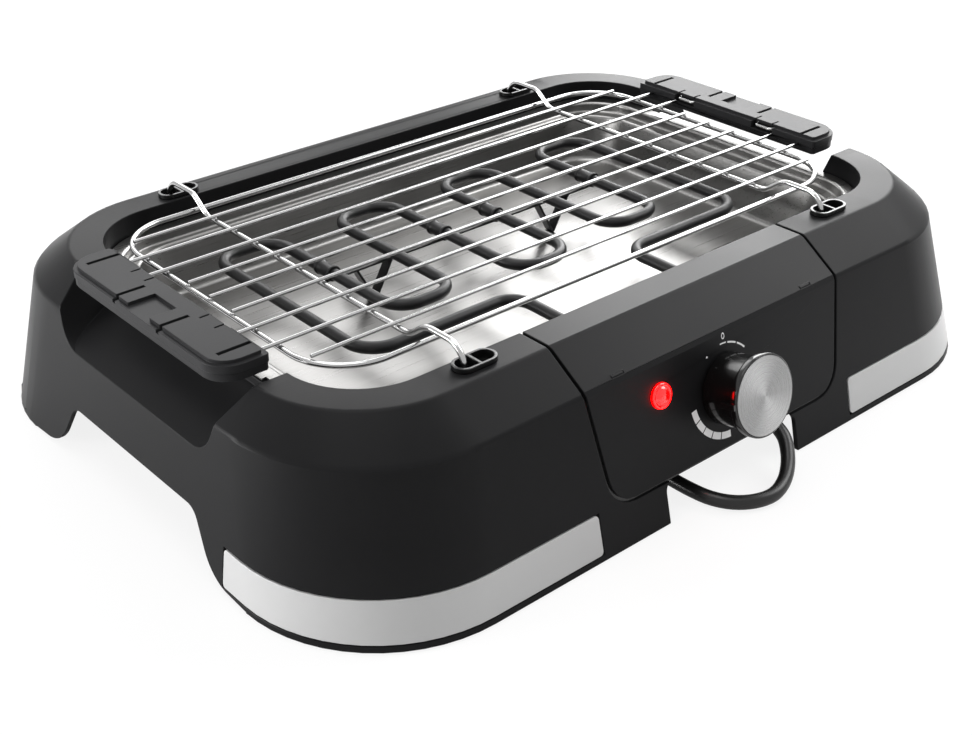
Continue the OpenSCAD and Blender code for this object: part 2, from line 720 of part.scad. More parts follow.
module rod_grooves() for (s = [-1, 1], i = [2, 3])
    bar([handle_in - 1, s * i * rod_pitch, rod_z], [long_rod + 0.2, s * i * rod_pitch, rod_z], rod_d + 0.1);

module handle_tops() piece([0.06, 0.06, 0.06]) handle_places() difference() {
    edge = handle_in + handle_w;
    union() {
        translate([0, 0, rod_z + 0.05]) linear_extrude(handle_top_z - handle_step - rod_z - 0.05)
            handle_outline(0);
        translate([0, 0, handle_top_z - 3]) linear_extrude(3) handle_outline(handle_inset);
    }
    rod_grooves();
    for (s = [-1, 1]) {
        box([handle_in + 2.5, s * 60.3 - 1.2, handle_top_z - 3.5], [handle_in + 20, s * 60.3 + 1.2, 120]);
        box([handle_in + 10.5, s * 20.3 - 1.2, handle_top_z - 3.5], [edge + 1, s * 20.3 + 1.2, 120]);
        for (y = loop_y) box([handle_in - 1, s * y - 0.5, loop_z], [handle_in + 7.8, s * y + 0.5, 120]);
        box([handle_in - 1, s * 31.85 - 8.2, 0], [handle_in + 4, s * 31.85 + 8.2, loop_z + 2.2]);
        for (y = loop_y) bar([handle_in, s * y, loop_z], [handle_in + 9, s * y, loop_z], loop_d + 0.1);
        translate([207, s * 50, 90]) cylinder(d = 2.7, h = 14.6);
    }
    box([handle_in + 10.8, -10, handle_top_z - 1.8], [edge + 1, 10, 120]);
}

module handle_bottoms() piece([0.06, 0.06, 0.06]) handle_places() difference() {
    translate([0, 0, handle_z]) linear_extrude(rod_z - 0.05 - handle_z) handle_outline(0.4);
    rod_grooves();
    for (s = [-1, 1]) translate([207, s * 50, 90]) {
        cylinder(d = 2.9, h = 20);
        cylinder(d = 6, h = handle_z - 90 + 1.6);
    }
}

module handle_screws() piece([0.6, 0.6, 0.62]) handle_places()
    for (s = [-1, 1]) translate([207, s * 50, handle_z + 0.2]) {
        cylinder(d = 5.4, h = 1.35);
        cylinder(d = 2.6, h = 7.4);
    }

module handle_loops() piece([0.85, 0.85, 0.85]) handle_places() for (s = [-1, 1])
    translate([0, 0, loop_z]) bent([[handle_in + 8.6, s * loop_y[0]], [handle_in + 1.5, s * loop_y[0]],
        [handle_in + 1.5, s * loop_y[1]], [handle_in + 8.6, s * loop_y[1]]], [0, 2.5, 2.5, 0], loop_d);

// ---------------------------------------------------------------- mains lead

module cord() piece([0.04, 0.04, 0.04]) sweep(cord_path, [0, -1, 0], [0, 1, 0], cord_d / 2);
module cord_tail() piece([0.04, 0.04, 0.04]) sweep(tail_path, [1, 0, 0], [1, 0, 0], cord_d / 2);

module cord_coil() piece([0.04, 0.04, 0.04]) translate([coil_at.x, coil_at.y, 0])
    rotate_extrude() translate([coil_r, 0]) {
        translate([-cord_d / 2, cord_d / 2]) square([cord_d, coil_h - cord_d]);
        for (z = [cord_d / 2, coil_h - cord_d / 2]) translate([0, z]) circle(d = cord_d);
    }

module plug() piece([0.05, 0.05, 0.05]) translate(tail_path[len(tail_path) - 1]) {
    rotate([0, 90, 0]) cylinder(r1 = cord_d / 2 + 0.4, r2 = 6.5, h = 14);
    difference() {
        box([13.9, -plug_w / 2, -plug_h / 2], [14 + plug_l, plug_w / 2, plug_h / 2]);
        for (s = [-1, 1]) translate([14 + plug_l - 6, s * 9.5, 0]) rotate([0, 90, 0])
            cylinder(d = pin_d + 0.1, h = 10);
    }
}

module plug_pins() piece([0.8, 0.8, 0.78]) translate(tail_path[len(tail_path) - 1])
    for (s = [-1, 1]) translate([14 + plug_l - 5.9, s * 9.5, 0]) rotate([0, 90, 0])
        cylinder(d = pin_d, h = pin_l + 5.9);

housing();
trim_front_left();
trim_front_right();
trim_rear_left();
trim_rear_right();
rack_sockets();
rubber_feet();
foot_screws();
drip_tray();
control_panel();
control_box();
control_screws();
thermostat();
terminal_block();
lamp_lens();
lamp_holder();
strain_relief();
knob();
knob_cap();
knob_shaft();
heating_element();
element_plate();
element_sleeves();
element_support();
terminal_pins();
rack_frame();
rack_cross_wires();
rack_rods();
handle_loops();
handle_tops();
handle_bottoms();
handle_screws();
cord();
cord_coil();
cord_tail();
plug();
plug_pins();
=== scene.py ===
# %% [markdown]
# # Electric tabletop grill
# This notebook dresses a finished CAD model of a tabletop grill. The CAD model gives every part its
# true size and place, and Blender gives each part its surface: moulded plastic, pressed steel, bright
# wire, a spun aluminium cap. Everything is in metres, and +Z points up.

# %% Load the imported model
import math
import json

import bpy
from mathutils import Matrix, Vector

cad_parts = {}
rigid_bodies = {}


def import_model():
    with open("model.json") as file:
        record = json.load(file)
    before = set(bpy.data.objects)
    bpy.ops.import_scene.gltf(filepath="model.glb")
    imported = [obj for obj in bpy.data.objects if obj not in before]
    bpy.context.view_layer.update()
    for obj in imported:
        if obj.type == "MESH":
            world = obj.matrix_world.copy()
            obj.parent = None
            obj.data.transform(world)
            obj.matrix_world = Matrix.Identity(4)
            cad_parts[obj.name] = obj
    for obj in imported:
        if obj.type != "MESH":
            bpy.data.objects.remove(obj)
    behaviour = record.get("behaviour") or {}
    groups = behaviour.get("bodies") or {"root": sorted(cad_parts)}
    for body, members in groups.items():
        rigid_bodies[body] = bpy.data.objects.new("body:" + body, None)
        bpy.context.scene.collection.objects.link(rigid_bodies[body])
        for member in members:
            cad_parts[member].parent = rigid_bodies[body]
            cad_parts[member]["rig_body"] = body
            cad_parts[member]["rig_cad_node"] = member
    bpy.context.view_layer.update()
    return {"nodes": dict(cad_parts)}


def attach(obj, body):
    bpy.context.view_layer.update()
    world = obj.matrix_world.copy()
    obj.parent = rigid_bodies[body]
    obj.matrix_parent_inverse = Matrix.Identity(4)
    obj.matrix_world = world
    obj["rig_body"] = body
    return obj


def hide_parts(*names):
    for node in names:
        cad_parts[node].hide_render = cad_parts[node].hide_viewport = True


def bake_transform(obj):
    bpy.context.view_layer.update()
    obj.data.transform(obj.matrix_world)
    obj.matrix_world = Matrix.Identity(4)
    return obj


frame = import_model()
MM = 0.001
MIDDLE_Y = 8.11

# %% [markdown]
# ## Camera
# The camera stands in front of the left end, looks down at about thirty degrees and has a lens a
# little longer than normal, so that the ends of the grill keep their proportions.

# %% Camera
bpy.ops.object.select_all(action="DESELECT")
bpy.ops.object.camera_add(
    location=(-493.81 * MM, (-557.49 + MIDDLE_Y) * MM, 422.24 * MM),
    rotation=(math.radians(59.88), math.radians(0.09), math.radians(-41.03)),
)
camera = bpy.context.object
camera.data.sensor_width = 36
camera.data.lens = 53.52
camera.data.clip_start = 0.02
bpy.context.scene.camera = camera
print("camera", [round(v, 3) for v in camera.location])


# %% [markdown]
# ## Mains lead
# A lead is a round tube of one thickness on a smooth centreline. The centreline is a few given points
# where the lead lies on the table, then a coil worked out turn by turn, then a few points down to the
# plug. A smooth curve through all of them is walked in small steps, and a ring of vertices at each step
# makes the tube.

# %% Points that the lead follows, in millimetres about the middle of the base
LEAD_D = 7.5
LEAD_POINTS = [
    (38, -168, 18.8), (37, -176, 18.2), (34.5, -184, 16), (30.5, -190, 12.5),
    (24, -196, 8.5), (15, -201, 5.4), (4, -203.5, 4), (-7, -201, 3.8),
    (-16, -194.5, 3.8), (-21.5, -185, 3.8), (-23.5, -174, 3.8), (-24, -160, 3.8),
    (-24, -130, 3.8), (-23, -90, 3.8), (-22, -50, 3.8), (-22, 0, 3.8),
    (-22, 50, 3.8), (-22, 100, 3.8), (-22, 150, 3.8), (-22, 190, 3.8), (-22, 231, 3.8),
]
TAIL_POINTS = [(29, 272, 27), (41, 272, 23.6), (54, 272, 18), (66, 272, 12.8), (78, 272, 9.2), (90, 272, 8)]
COIL_X, COIL_Y, COIL_R, COIL_TURNS = 19, 231, 41, 3.25
STEPS_PER_TURN = 32

coil = []
for step in range(1, round(COIL_TURNS * STEPS_PER_TURN) + 1):
    turn = step / STEPS_PER_TURN
    angle = math.pi - 2 * math.pi * turn
    coil.append((
        COIL_X + COIL_R * math.cos(angle),
        COIL_Y + COIL_R * math.sin(angle),
        LEAD_D / 2 + 0.05 + LEAD_D * turn,
    ))
print("coil points", len(coil))


# %% A smooth walk along points, and the tube round it
def on_frame(point):
    """A point in millimetres about the base, as metres in the model's own frame."""
    return Vector((point[0] * MM, (point[1] + MIDDLE_Y) * MM, point[2] * MM))


def smooth_walk(points, steps):
    """Points on a smooth curve that passes through all the given ones."""
    walk = []
    for i in range(len(points) - 1):
        a, b = points[i], points[i + 1]
        before = points[max(i - 1, 0)]
        after = points[min(i + 2, len(points) - 1)]
        gap = (b - a).length
        slope_a = (b - before).normalized() * gap
        slope_b = (after - a).normalized() * gap
        for k in range(steps):
            t = k / steps
            walk.append(
                a * (1 + 2 * t) * (1 - t) ** 2 + slope_a * t * (1 - t) ** 2
                + b * t * t * (3 - 2 * t) + slope_b * t * t * (t - 1)
            )
    return walk + [points[-1]]


def tube_mesh(name, walk, radius, sides, first=None, last=None):
    """A round tube along the walk, closed at both ends."""
    vertices, faces = [], []
    for i, point in enumerate(walk):
        way = (walk[min(i + 1, len(walk) - 1)] - walk[max(i - 1, 0)]).normalized()
        if i == 0 and first:
            way = Vector(first)
        if i == len(walk) - 1 and last:
            way = Vector(last)
        side = way.cross(Vector((0, 0, 1))).normalized()
        up = side.cross(way)
        for j in range(sides):
            a = 2 * math.pi * j / sides
            vertices.append(point + radius * (math.cos(a) * side + math.sin(a) * up))
    for i in range(len(walk) - 1):
        for j in range(sides):
            a, b = i * sides + j, i * sides + (j + 1) % sides
            faces.append((a, a + sides, b + sides, b))
    faces.append(tuple(range(sides)))
    faces.append(tuple(reversed(range(len(vertices) - sides, len(vertices)))))
    mesh = bpy.data.meshes.new(name)
    mesh.from_pydata([v[:] for v in vertices], [], faces)
    mesh.validate()
    piece = bpy.data.objects.new(name, mesh)
    bpy.context.collection.objects.link(piece)
    mesh.shade_smooth()
    return piece


lead_walk = smooth_walk([on_frame(p) for p in LEAD_POINTS + coil + TAIL_POINTS], 4)
lead = tube_mesh("mains_lead", lead_walk, LEAD_D / 2 * MM, 20, (0, -1, 0), (1, 0, 0))
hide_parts("cord", "cord_coil", "cord_tail")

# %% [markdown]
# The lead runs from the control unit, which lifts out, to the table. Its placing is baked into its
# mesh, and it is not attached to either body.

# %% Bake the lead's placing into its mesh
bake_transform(lead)


# %% [markdown]
# ## Working by hand, in code
# A tool in Blender acts on all that is selected, so each step first deselects everything and then
# picks the piece it means. A modifier is set up and applied at once, as a modeller would do who
# wants a plain mesh to carry on with.

# %% Picking pieces and applying modifiers
def deselect():
    """Leaves edit mode and selects nothing."""
    if bpy.context.mode != "OBJECT":
        bpy.ops.object.mode_set(mode="OBJECT")
    bpy.ops.object.select_all(action="DESELECT")


def pick(*pieces):
    """Selects only these pieces, and makes the last one active."""
    deselect()
    for piece in pieces:
        piece.select_set(True)
    bpy.context.view_layer.objects.active = pieces[-1]


def shape_with(piece, kind, **settings):
    """Adds a modifier, sets its values and applies it."""
    pick(piece)
    change = piece.modifiers.new(kind.lower(), kind)
    for key, value in settings.items():
        setattr(change, key, value)
    bpy.ops.object.modifier_apply(modifier=change.name)
    return piece


def soften(piece, width, segments=2, angle=30, crisp=30, clamp=True):
    """Rounds edges sharper than angle by a bevel of so many millimetres. Edges that turn by more
    than crisp degrees stay crisp in the shading."""
    if width:
        shape_with(
            piece, "BEVEL", width=width * MM, segments=segments, limit_method="ANGLE",
            angle_limit=math.radians(angle), use_clamp_overlap=clamp,
        )
    pick(piece)
    bpy.ops.object.shade_smooth_by_angle(angle=math.radians(crisp))
    return shape_with(piece, "WEIGHTED_NORMAL", keep_sharp=True)


def face_outwards(piece):
    """Turns all the faces of a closed piece outwards."""
    pick(piece)
    bpy.ops.object.mode_set(mode="EDIT")
    bpy.ops.mesh.select_all(action="SELECT")
    bpy.ops.mesh.normals_make_consistent(inside=False)
    bpy.ops.object.mode_set(mode="OBJECT")
    return piece


# %% [markdown]
# ## Shared surface effects
# Real surfaces are never one flat colour. Three small effects are used again and again, so each is a
# node group: a fine grain, as on moulded plastic, long brush lines, as on sheet steel, and rings
# round a centre, as a lathe leaves them.

# %% Node groups
def new_group(name, inputs, outputs):
    """An empty shader node group with number inputs and outputs."""
    group = bpy.data.node_groups.new(name, "ShaderNodeTree")
    for label, value in inputs:
        socket = group.interface.new_socket(name=label, in_out="INPUT", socket_type="NodeSocketFloat")
        socket.default_value = value
    for label in outputs:
        group.interface.new_socket(name=label, in_out="OUTPUT", socket_type="NodeSocketFloat")
    return group, group.nodes, group.links


def grain_group():
    """Fine even grain over faint broad clouds. Gives a height and a cloud mask."""
    group, nodes, links = new_group(
        "fine_grain", [("Grain scale", 900.0), ("Cloud scale", 14.0)], ["Height", "Clouds"])
    inside, outside = nodes.new("NodeGroupInput"), nodes.new("NodeGroupOutput")
    place = nodes.new("ShaderNodeTexCoord")
    grain, clouds = nodes.new("ShaderNodeTexNoise"), nodes.new("ShaderNodeTexNoise")
    grain.inputs["Detail"].default_value = 3.0
    clouds.inputs["Detail"].default_value = 4.0
    for noise, label in ((grain, "Grain scale"), (clouds, "Cloud scale")):
        links.new(place.outputs["Object"], noise.inputs["Vector"])
        links.new(inside.outputs[label], noise.inputs["Scale"])
    links.new(grain.outputs["Fac"], outside.inputs["Height"])
    links.new(clouds.outputs["Fac"], outside.inputs["Clouds"])
    return group


def brush_group():
    """Long lines along X, as a brushing belt leaves them. Gives the lines and a cloud mask."""
    group, nodes, links = new_group(
        "brush_lines", [("Line scale", 1400.0), ("Line length", 0.01)], ["Lines", "Clouds"])
    inside, outside = nodes.new("NodeGroupInput"), nodes.new("NodeGroupOutput")
    place, split = nodes.new("ShaderNodeTexCoord"), nodes.new("ShaderNodeSeparateXYZ")
    join, shorten = nodes.new("ShaderNodeCombineXYZ"), nodes.new("ShaderNodeMath")
    shorten.operation = "MULTIPLY"
    lines, clouds = nodes.new("ShaderNodeTexNoise"), nodes.new("ShaderNodeTexNoise")
    clouds.inputs["Scale"].default_value = 9.0
    links.new(place.outputs["Object"], split.inputs[0])
    links.new(split.outputs["X"], shorten.inputs[0])
    links.new(inside.outputs["Line length"], shorten.inputs[1])
    links.new(shorten.outputs[0], join.inputs["X"])
    links.new(split.outputs["Y"], join.inputs["Y"])
    links.new(split.outputs["Z"], join.inputs["Z"])
    links.new(join.outputs[0], lines.inputs["Vector"])
    links.new(inside.outputs["Line scale"], lines.inputs["Scale"])
    links.new(place.outputs["Object"], clouds.inputs["Vector"])
    links.new(lines.outputs["Fac"], outside.inputs["Lines"])
    links.new(clouds.outputs["Fac"], outside.inputs["Clouds"])
    return group


def ring_group():
    """Fine rings round a centre. Reads a UV map whose V is the distance from the centre."""
    group, nodes, links = new_group("lathe_rings", [("Ring scale", 700.0)], ["Rings"])
    inside, outside = nodes.new("NodeGroupInput"), nodes.new("NodeGroupOutput")
    place, split = nodes.new("ShaderNodeTexCoord"), nodes.new("ShaderNodeSeparateXYZ")
    rings = nodes.new("ShaderNodeTexNoise")
    rings.noise_dimensions = "1D"
    rings.inputs["Detail"].default_value = 3.0
    links.new(place.outputs["UV"], split.inputs[0])
    links.new(split.outputs["Y"], rings.inputs["W"])
    links.new(inside.outputs["Ring scale"], rings.inputs["Scale"])
    links.new(rings.outputs["Fac"], outside.inputs["Rings"])
    return group


FINE_GRAIN = grain_group()
BRUSH_LINES = brush_group()
LATHE_RINGS = ring_group()
print("groups", FINE_GRAIN.name, BRUSH_LINES.name, LATHE_RINGS.name)


# %% [markdown]
# ## Materials
# Each finish starts as one Principled shader. Its steady values are set on the shader itself, and
# only what changes over the surface comes in through nodes: a faint change of colour and roughness,
# and a very small bump.

# %% A maker for every finish
def new_material(name):
    """A material with its nodes and links at hand."""
    material = bpy.data.materials.new(name)
    material.use_nodes = True
    return material, material.node_tree.nodes, material.node_tree.links


def number_between(nodes, links, mask, low, high):
    """Turns a mask, which mostly lies from 0.3 to 0.7, into numbers from low to high."""
    change = nodes.new("ShaderNodeMapRange")
    change.inputs["From Min"].default_value = 0.3
    change.inputs["From Max"].default_value = 0.7
    change.inputs["To Min"].default_value = low
    change.inputs["To Max"].default_value = high
    links.new(mask, change.inputs["Value"])
    return change.outputs["Result"]


def colour_between(nodes, links, mask, colour, spread):
    """Turns a mask into a colour a little darker or lighter than the given one."""
    ramp = nodes.new("ShaderNodeValToRGB")
    for element, place, change in zip(ramp.color_ramp.elements, (0.3, 0.7), (1 - spread, 1 + spread)):
        element.position = place
        element.color = [min(c * change, 1) for c in colour] + [1]
    links.new(mask, ramp.inputs["Fac"])
    return ramp.outputs["Color"]


def finish(name, group, height, mask, colour, rough, bump=0.00004, colour_spread=0.1,
           rough_spread=0.06, scale=None, **steady):
    """A finish whose colour, roughness and bump come from one effect group."""
    material, nodes, links = new_material(name)
    shader = nodes["Principled BSDF"]
    for label, value in steady.items():
        shader.inputs[label.replace("_", " ").title().replace("Ior", "IOR")].default_value = value
    effect = nodes.new("ShaderNodeGroup")
    effect.node_tree = group
    if scale:
        effect.inputs[0].default_value = scale
    links.new(colour_between(nodes, links, effect.outputs[mask], colour, colour_spread),
              shader.inputs["Base Color"])
    links.new(number_between(nodes, links, effect.outputs[mask], rough - rough_spread / 2,
                             rough + rough_spread / 2), shader.inputs["Roughness"])
    relief = nodes.new("ShaderNodeBump")
    relief.inputs["Distance"].default_value = bump
    relief.inputs["Strength"].default_value = 0.6
    links.new(effect.outputs[height], relief.inputs["Height"])
    links.new(relief.outputs["Normal"], shader.inputs["Normal"])
    return material


def moulded(name, colour, rough, **more):
    """Moulded plastic, rubber or paint: fine grain, faint clouds in colour and roughness."""
    return finish(name, FINE_GRAIN, "Height", "Clouds", colour, rough, **more)


def brushed(name, colour, rough, **more):
    """Metal with long brush lines along X."""
    values = {"bump": 0.00002, "colour_spread": 0.06, "rough_spread": 0.1, "metallic": 1.0}
    values.update(more)
    return finish(name, BRUSH_LINES, "Lines", "Lines", colour, rough, **values)


# %% The finishes of this grill
FINISH = {
    "housing_black": moulded("housing black", (0.009, 0.009, 0.0095), 0.4, specular_ior_level=0.07),
    "panel_black": moulded("panel black", (0.008, 0.008, 0.0085), 0.36, bump=0.00002,
                           specular_ior_level=0.08),
    "socket_black": moulded("socket black", (0.006, 0.006, 0.006), 0.25, specular_ior_level=0.35),
    "foot_rubber": moulded("foot rubber", (0.02, 0.02, 0.02), 0.8, bump=0.0001),
    "trim_grey": moulded("trim grey", (0.42, 0.42, 0.42), 0.4, bump=0.00001, colour_spread=0.02,
                         rough_spread=0.04),
    "tray_steel": brushed("tray steel", (0.26, 0.257, 0.252), 0.3, bump=0.000008, colour_spread=0.05,
                          rough_spread=0.06),
    "plain_steel": brushed("plain steel", (0.55, 0.55, 0.56), 0.35),
    "rack_chrome": moulded("rack chrome", (0.4, 0.4, 0.4), 0.17, metallic=1.0, colour_spread=0.04,
                           bump=0.00001),
    "element_black": moulded("element black", (0.006, 0.006, 0.0063), 0.4, scale=1500.0,
                             colour_spread=0.25, specular_ior_level=0.3),
    "handle_black": moulded("handle black", (0.020, 0.020, 0.021), 0.38, specular_ior_level=0.06),
    "knob_gloss": moulded("knob gloss", (0.003, 0.003, 0.003), 0.16, bump=0.000004,
                          specular_ior_level=0.35, coat_weight=0.25, coat_roughness=0.1),
    "cap_aluminium": finish("cap aluminium", LATHE_RINGS, "Rings", "Rings", (0.29, 0.29, 0.29), 0.28,
                            bump=0.00001, colour_spread=0.08, rough_spread=0.12, metallic=1.0,
                            anisotropic=0.75),
    "lamp_red": moulded("lamp red", (0.5, 0.0, 0.0), 0.12, bump=0.000004, coat_weight=0.6,
                        coat_roughness=0.05),
    "print_white": moulded("print white", (0.75, 0.75, 0.75), 0.5, bump=0.00001, colour_spread=0.03),
    "lead_black": moulded("lead black", (0.010, 0.010, 0.010), 0.32, bump=0.00001,
                          specular_ior_level=0.35),
    "light_insulator": moulded("light insulator", (0.7, 0.68, 0.62), 0.6, colour_spread=0.05),
    "pin_metal": brushed("pin metal", (0.72, 0.7, 0.66), 0.2),
}
lead.data.materials.append(FINISH["lead_black"])
print("finishes", len(FINISH))

# %% [markdown]
# The spun cap mirrors light in two bright fans, because its tiny grooves run round the centre. The
# shader gets some of this from an anisotropic gloss whose direction follows the grooves, taken from
# the UV map. The two fans are also painted into the base colour by the angle round the cap, as a
# painted reflection. The lamp is lit, so its red lens also gives off light.

# %% The cap's groove direction, its painted reflection fans and the lamp's glow
cap_nodes, cap_links = FINISH["cap_aluminium"].node_tree.nodes, FINISH["cap_aluminium"].node_tree.links
round_way = cap_nodes.new("ShaderNodeTangent")
round_way.direction_type = "UV_MAP"
cap_shader = cap_nodes["Principled BSDF"]
cap_links.new(round_way.outputs["Tangent"], cap_shader.inputs["Tangent"])
# Painted reflection: the base colour is made lighter and darker in two fans by the angle round the cap.
polar_place, polar_split = cap_nodes.new("ShaderNodeTexCoord"), cap_nodes.new("ShaderNodeSeparateXYZ")
painted_fan_turn, painted_fan_wave = cap_nodes.new("ShaderNodeMath"), cap_nodes.new("ShaderNodeMath")
painted_fan_share, painted_fan_colour = cap_nodes.new("ShaderNodeMapRange"), cap_nodes.new("ShaderNodeVectorMath")
painted_fan_turn.operation, painted_fan_wave.operation, painted_fan_colour.operation = "MULTIPLY_ADD", "SINE", "SCALE"
painted_fan_turn.inputs[1].default_value, painted_fan_turn.inputs[2].default_value = 4 * math.pi, 4.0
for label, value in (("From Min", -0.6), ("From Max", 1.0), ("To Min", 0.86), ("To Max", 1.25)):
    painted_fan_share.inputs[label].default_value = value
ring_colour = cap_shader.inputs["Base Color"].links[0].from_socket
cap_links.new(polar_place.outputs["UV"], polar_split.inputs[0])
cap_links.new(polar_split.outputs["X"], painted_fan_turn.inputs[0])
cap_links.new(painted_fan_turn.outputs[0], painted_fan_wave.inputs[0])
cap_links.new(painted_fan_wave.outputs[0], painted_fan_share.inputs["Value"])
cap_links.new(ring_colour, painted_fan_colour.inputs[0])
cap_links.new(painted_fan_share.outputs["Result"], painted_fan_colour.inputs["Scale"])
cap_links.new(painted_fan_colour.outputs[0], cap_shader.inputs["Base Color"])
lamp_nodes, lamp_links = FINISH["lamp_red"].node_tree.nodes, FINISH["lamp_red"].node_tree.links
glow = lamp_nodes["Principled BSDF"]
glow.inputs["Emission Color"].default_value = (1.0, 0.0, 0.0, 1.0)
facing = lamp_nodes.new("ShaderNodeLayerWeight")
facing.inputs["Blend"].default_value = 0.35
fade = lamp_nodes.new("ShaderNodeMapRange")
for label, value in (("From Min", 0.12), ("From Max", 0.45), ("To Min", 20.0), ("To Max", 12.0)):
    fade.inputs[label].default_value = value
lamp_links.new(facing.outputs["Facing"], fade.inputs["Value"])
lamp_links.new(fade.outputs["Result"], glow.inputs["Emission Strength"])


# %% [markdown]
# ## Copies of CAD parts
# Most parts already have the right shape in the CAD model, but its meshes are loose triangles with
# knife-sharp edges. A copy of each is welded together, flat areas are cleaned of their triangles,
# and a small bevel catches the light along the edges.

# %% Copying a CAD part, and handing over a finished piece
def copy_of(node, name, weld=0.01, merge=True):
    """A separate mesh with a CAD part's shape. Corners closer than weld millimetres are joined, and
    the triangles of a flat area are merged. A flat area with a hole in it keeps its triangles."""
    pick(frame["nodes"][node])
    bpy.ops.object.duplicate()
    piece = bpy.context.object
    piece.parent = None
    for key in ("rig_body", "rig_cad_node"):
        if key in piece:
            del piece[key]
    piece.name = name
    bpy.ops.object.mode_set(mode="EDIT")
    bpy.ops.mesh.select_all(action="SELECT")
    bpy.ops.mesh.remove_doubles(threshold=weld * MM)
    if merge:
        bpy.ops.mesh.dissolve_limited(angle_limit=math.radians(0.5))
    bpy.ops.object.mode_set(mode="OBJECT")
    return piece


def settle(piece, body, look, *nodes):
    """Gives the piece its finish and its body, and lets it stand for its CAD parts."""
    piece.data.materials.clear()
    piece.data.materials.append(FINISH[look])
    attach(piece, body)
    if nodes:
        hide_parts(*nodes)
    print(piece.name, len(piece.data.polygons), "faces")
    return piece


# %% [markdown]
# ## Turned parts
# A knob, a lamp dome or a collar is round, so it can be drawn as a lathe would cut it. It starts as
# a filled circle. Its face is extruded and resized again and again, once for each step of the
# outline, and the last face closes it. A few short steps at each corner give a real rounded edge.

# %% Turned parts
BASE_HALF_Y = 184.0
SIDE_FLARE = 0.25
PANEL_TILT = math.atan(SIDE_FLARE)


def turned(name, outline, sides=72):
    """A turned part about Z from (radius, height) steps in millimetres, closed at both ends."""
    deselect()
    radius, height = outline[0]
    bpy.ops.mesh.primitive_circle_add(
        vertices=sides, radius=radius * MM, location=(0, 0, height * MM), fill_type="NGON")
    piece = bpy.context.object
    piece.name = name
    bpy.ops.object.transform_apply(location=True)
    bpy.ops.object.mode_set(mode="EDIT")
    bpy.ops.mesh.select_all(action="SELECT")
    for next_radius, next_height in outline[1:]:
        rise = (0, 0, (next_height - height) * MM)
        bpy.ops.mesh.extrude_region_move(TRANSFORM_OT_translate={"value": rise})
        grow = next_radius / radius
        bpy.ops.transform.resize(value=(grow, grow, 1), center_override=(0, 0, next_height * MM))
        radius, height = next_radius, next_height
    bpy.ops.object.mode_set(mode="OBJECT")
    return face_outwards(piece)


def place_piece(piece, location, turn=(0, 0, 0)):
    """Turns and moves a finished mesh, and leaves its object at the origin."""
    pick(piece)
    piece.rotation_euler = turn
    bpy.ops.object.transform_apply(location=False, rotation=True, scale=True)
    piece.location = location
    bpy.ops.object.transform_apply(location=True, rotation=False, scale=False)
    return piece


def on_panel(piece, x, z):
    """Stands a piece, drawn about Z, on the sloping front face of the control unit."""
    foot = on_frame((x, -(BASE_HALF_Y - SIDE_FLARE * z), z))
    return place_piece(piece, foot, (math.pi / 2 - PANEL_TILT, 0, 0))


def combine(piece, other, how):
    """Cuts another closed shape out of a piece, or welds it on, and uses that shape up."""
    shape_with(piece, "BOOLEAN", operation=how, solver="EXACT", object=other)
    bpy.data.objects.remove(other)
    return piece


# %% [markdown]
# ## Flat shapes with an outline
# Dial marks, cutters and small blocks are flat shapes with a thickness. A filled circle gets as many
# corners as the outline has, each corner is moved to its place, and the face is extruded.

# %% Flat shapes
def flat_shape(name, outline, low, high):
    """A slab with the given (x, y) outline, from one height to another, in millimetres."""
    deselect()
    bpy.ops.mesh.primitive_circle_add(vertices=len(outline), radius=0.01, fill_type="NGON")
    piece = bpy.context.object
    piece.name = name
    for vertex, (x, y) in zip(piece.data.vertices, outline):
        vertex.co = (x * MM, y * MM, low * MM)
    bpy.ops.object.mode_set(mode="EDIT")
    bpy.ops.mesh.select_all(action="SELECT")
    bpy.ops.mesh.extrude_region_move(TRANSFORM_OT_translate={"value": (0, 0, (high - low) * MM)})
    bpy.ops.object.mode_set(mode="OBJECT")
    return face_outwards(piece)


def arc_points(radius, start, end, steps):
    """Points along an arc about the origin, in degrees."""
    angles = [math.radians(start + (end - start) * k / steps) for k in range(steps + 1)]
    return [(radius * math.cos(a), radius * math.sin(a)) for a in angles]


# %% [markdown]
# ## The dial: knob, cap and shaft
# The knob is glossy black plastic with a wider flange at its front. A pointer runs along its side.
# A thin aluminium cap, turned on a lathe, sits in a shallow recess.

# %% Knob and pointer
KNOB_Z = 53.3
POINTER_ANGLE = 176
KNOB_STEPS = [
    (17.3, 0.6), (17.9, 0.7), (18.3, 1.0), (18.4, 1.5), (18.5, 10.0), (18.6, 19.2), (18.7, 19.9),
    (19.1, 20.4), (19.8, 20.7), (20.7, 20.9), (21.05, 21.1), (21.2, 21.5), (21.2, 24.1),
    (21.1, 24.5), (20.85, 24.8), (20.5, 24.9), (20.32, 24.8), (20.27, 24.5), (20.27, 24.13),
]
knob = turned("dial_knob", KNOB_STEPS, 96)
turn_by = math.radians(POINTER_ANGLE)
corner = [(17.2, -1.5), (22.1, -1.5), (22.4, -1.1), (22.4, 1.1), (22.1, 1.5), (17.2, 1.5)]
pointer = flat_shape("pointer", [
    (x * math.cos(turn_by) - y * math.sin(turn_by), x * math.sin(turn_by) + y * math.cos(turn_by))
    for x, y in corner], 15.9, 24.6)
combine(knob, pointer, "UNION")
on_panel(knob, 0, KNOB_Z)
pick(knob)
bpy.ops.object.shade_smooth_by_angle(angle=math.radians(35))
settle(knob, "knob", "knob_gloss", "knob")

# %% [markdown]
# The cap needs a UV map that goes round it: U is the angle and V is the distance from the centre.
# Each face is mapped by itself, so that the last face of a ring does not run backwards.

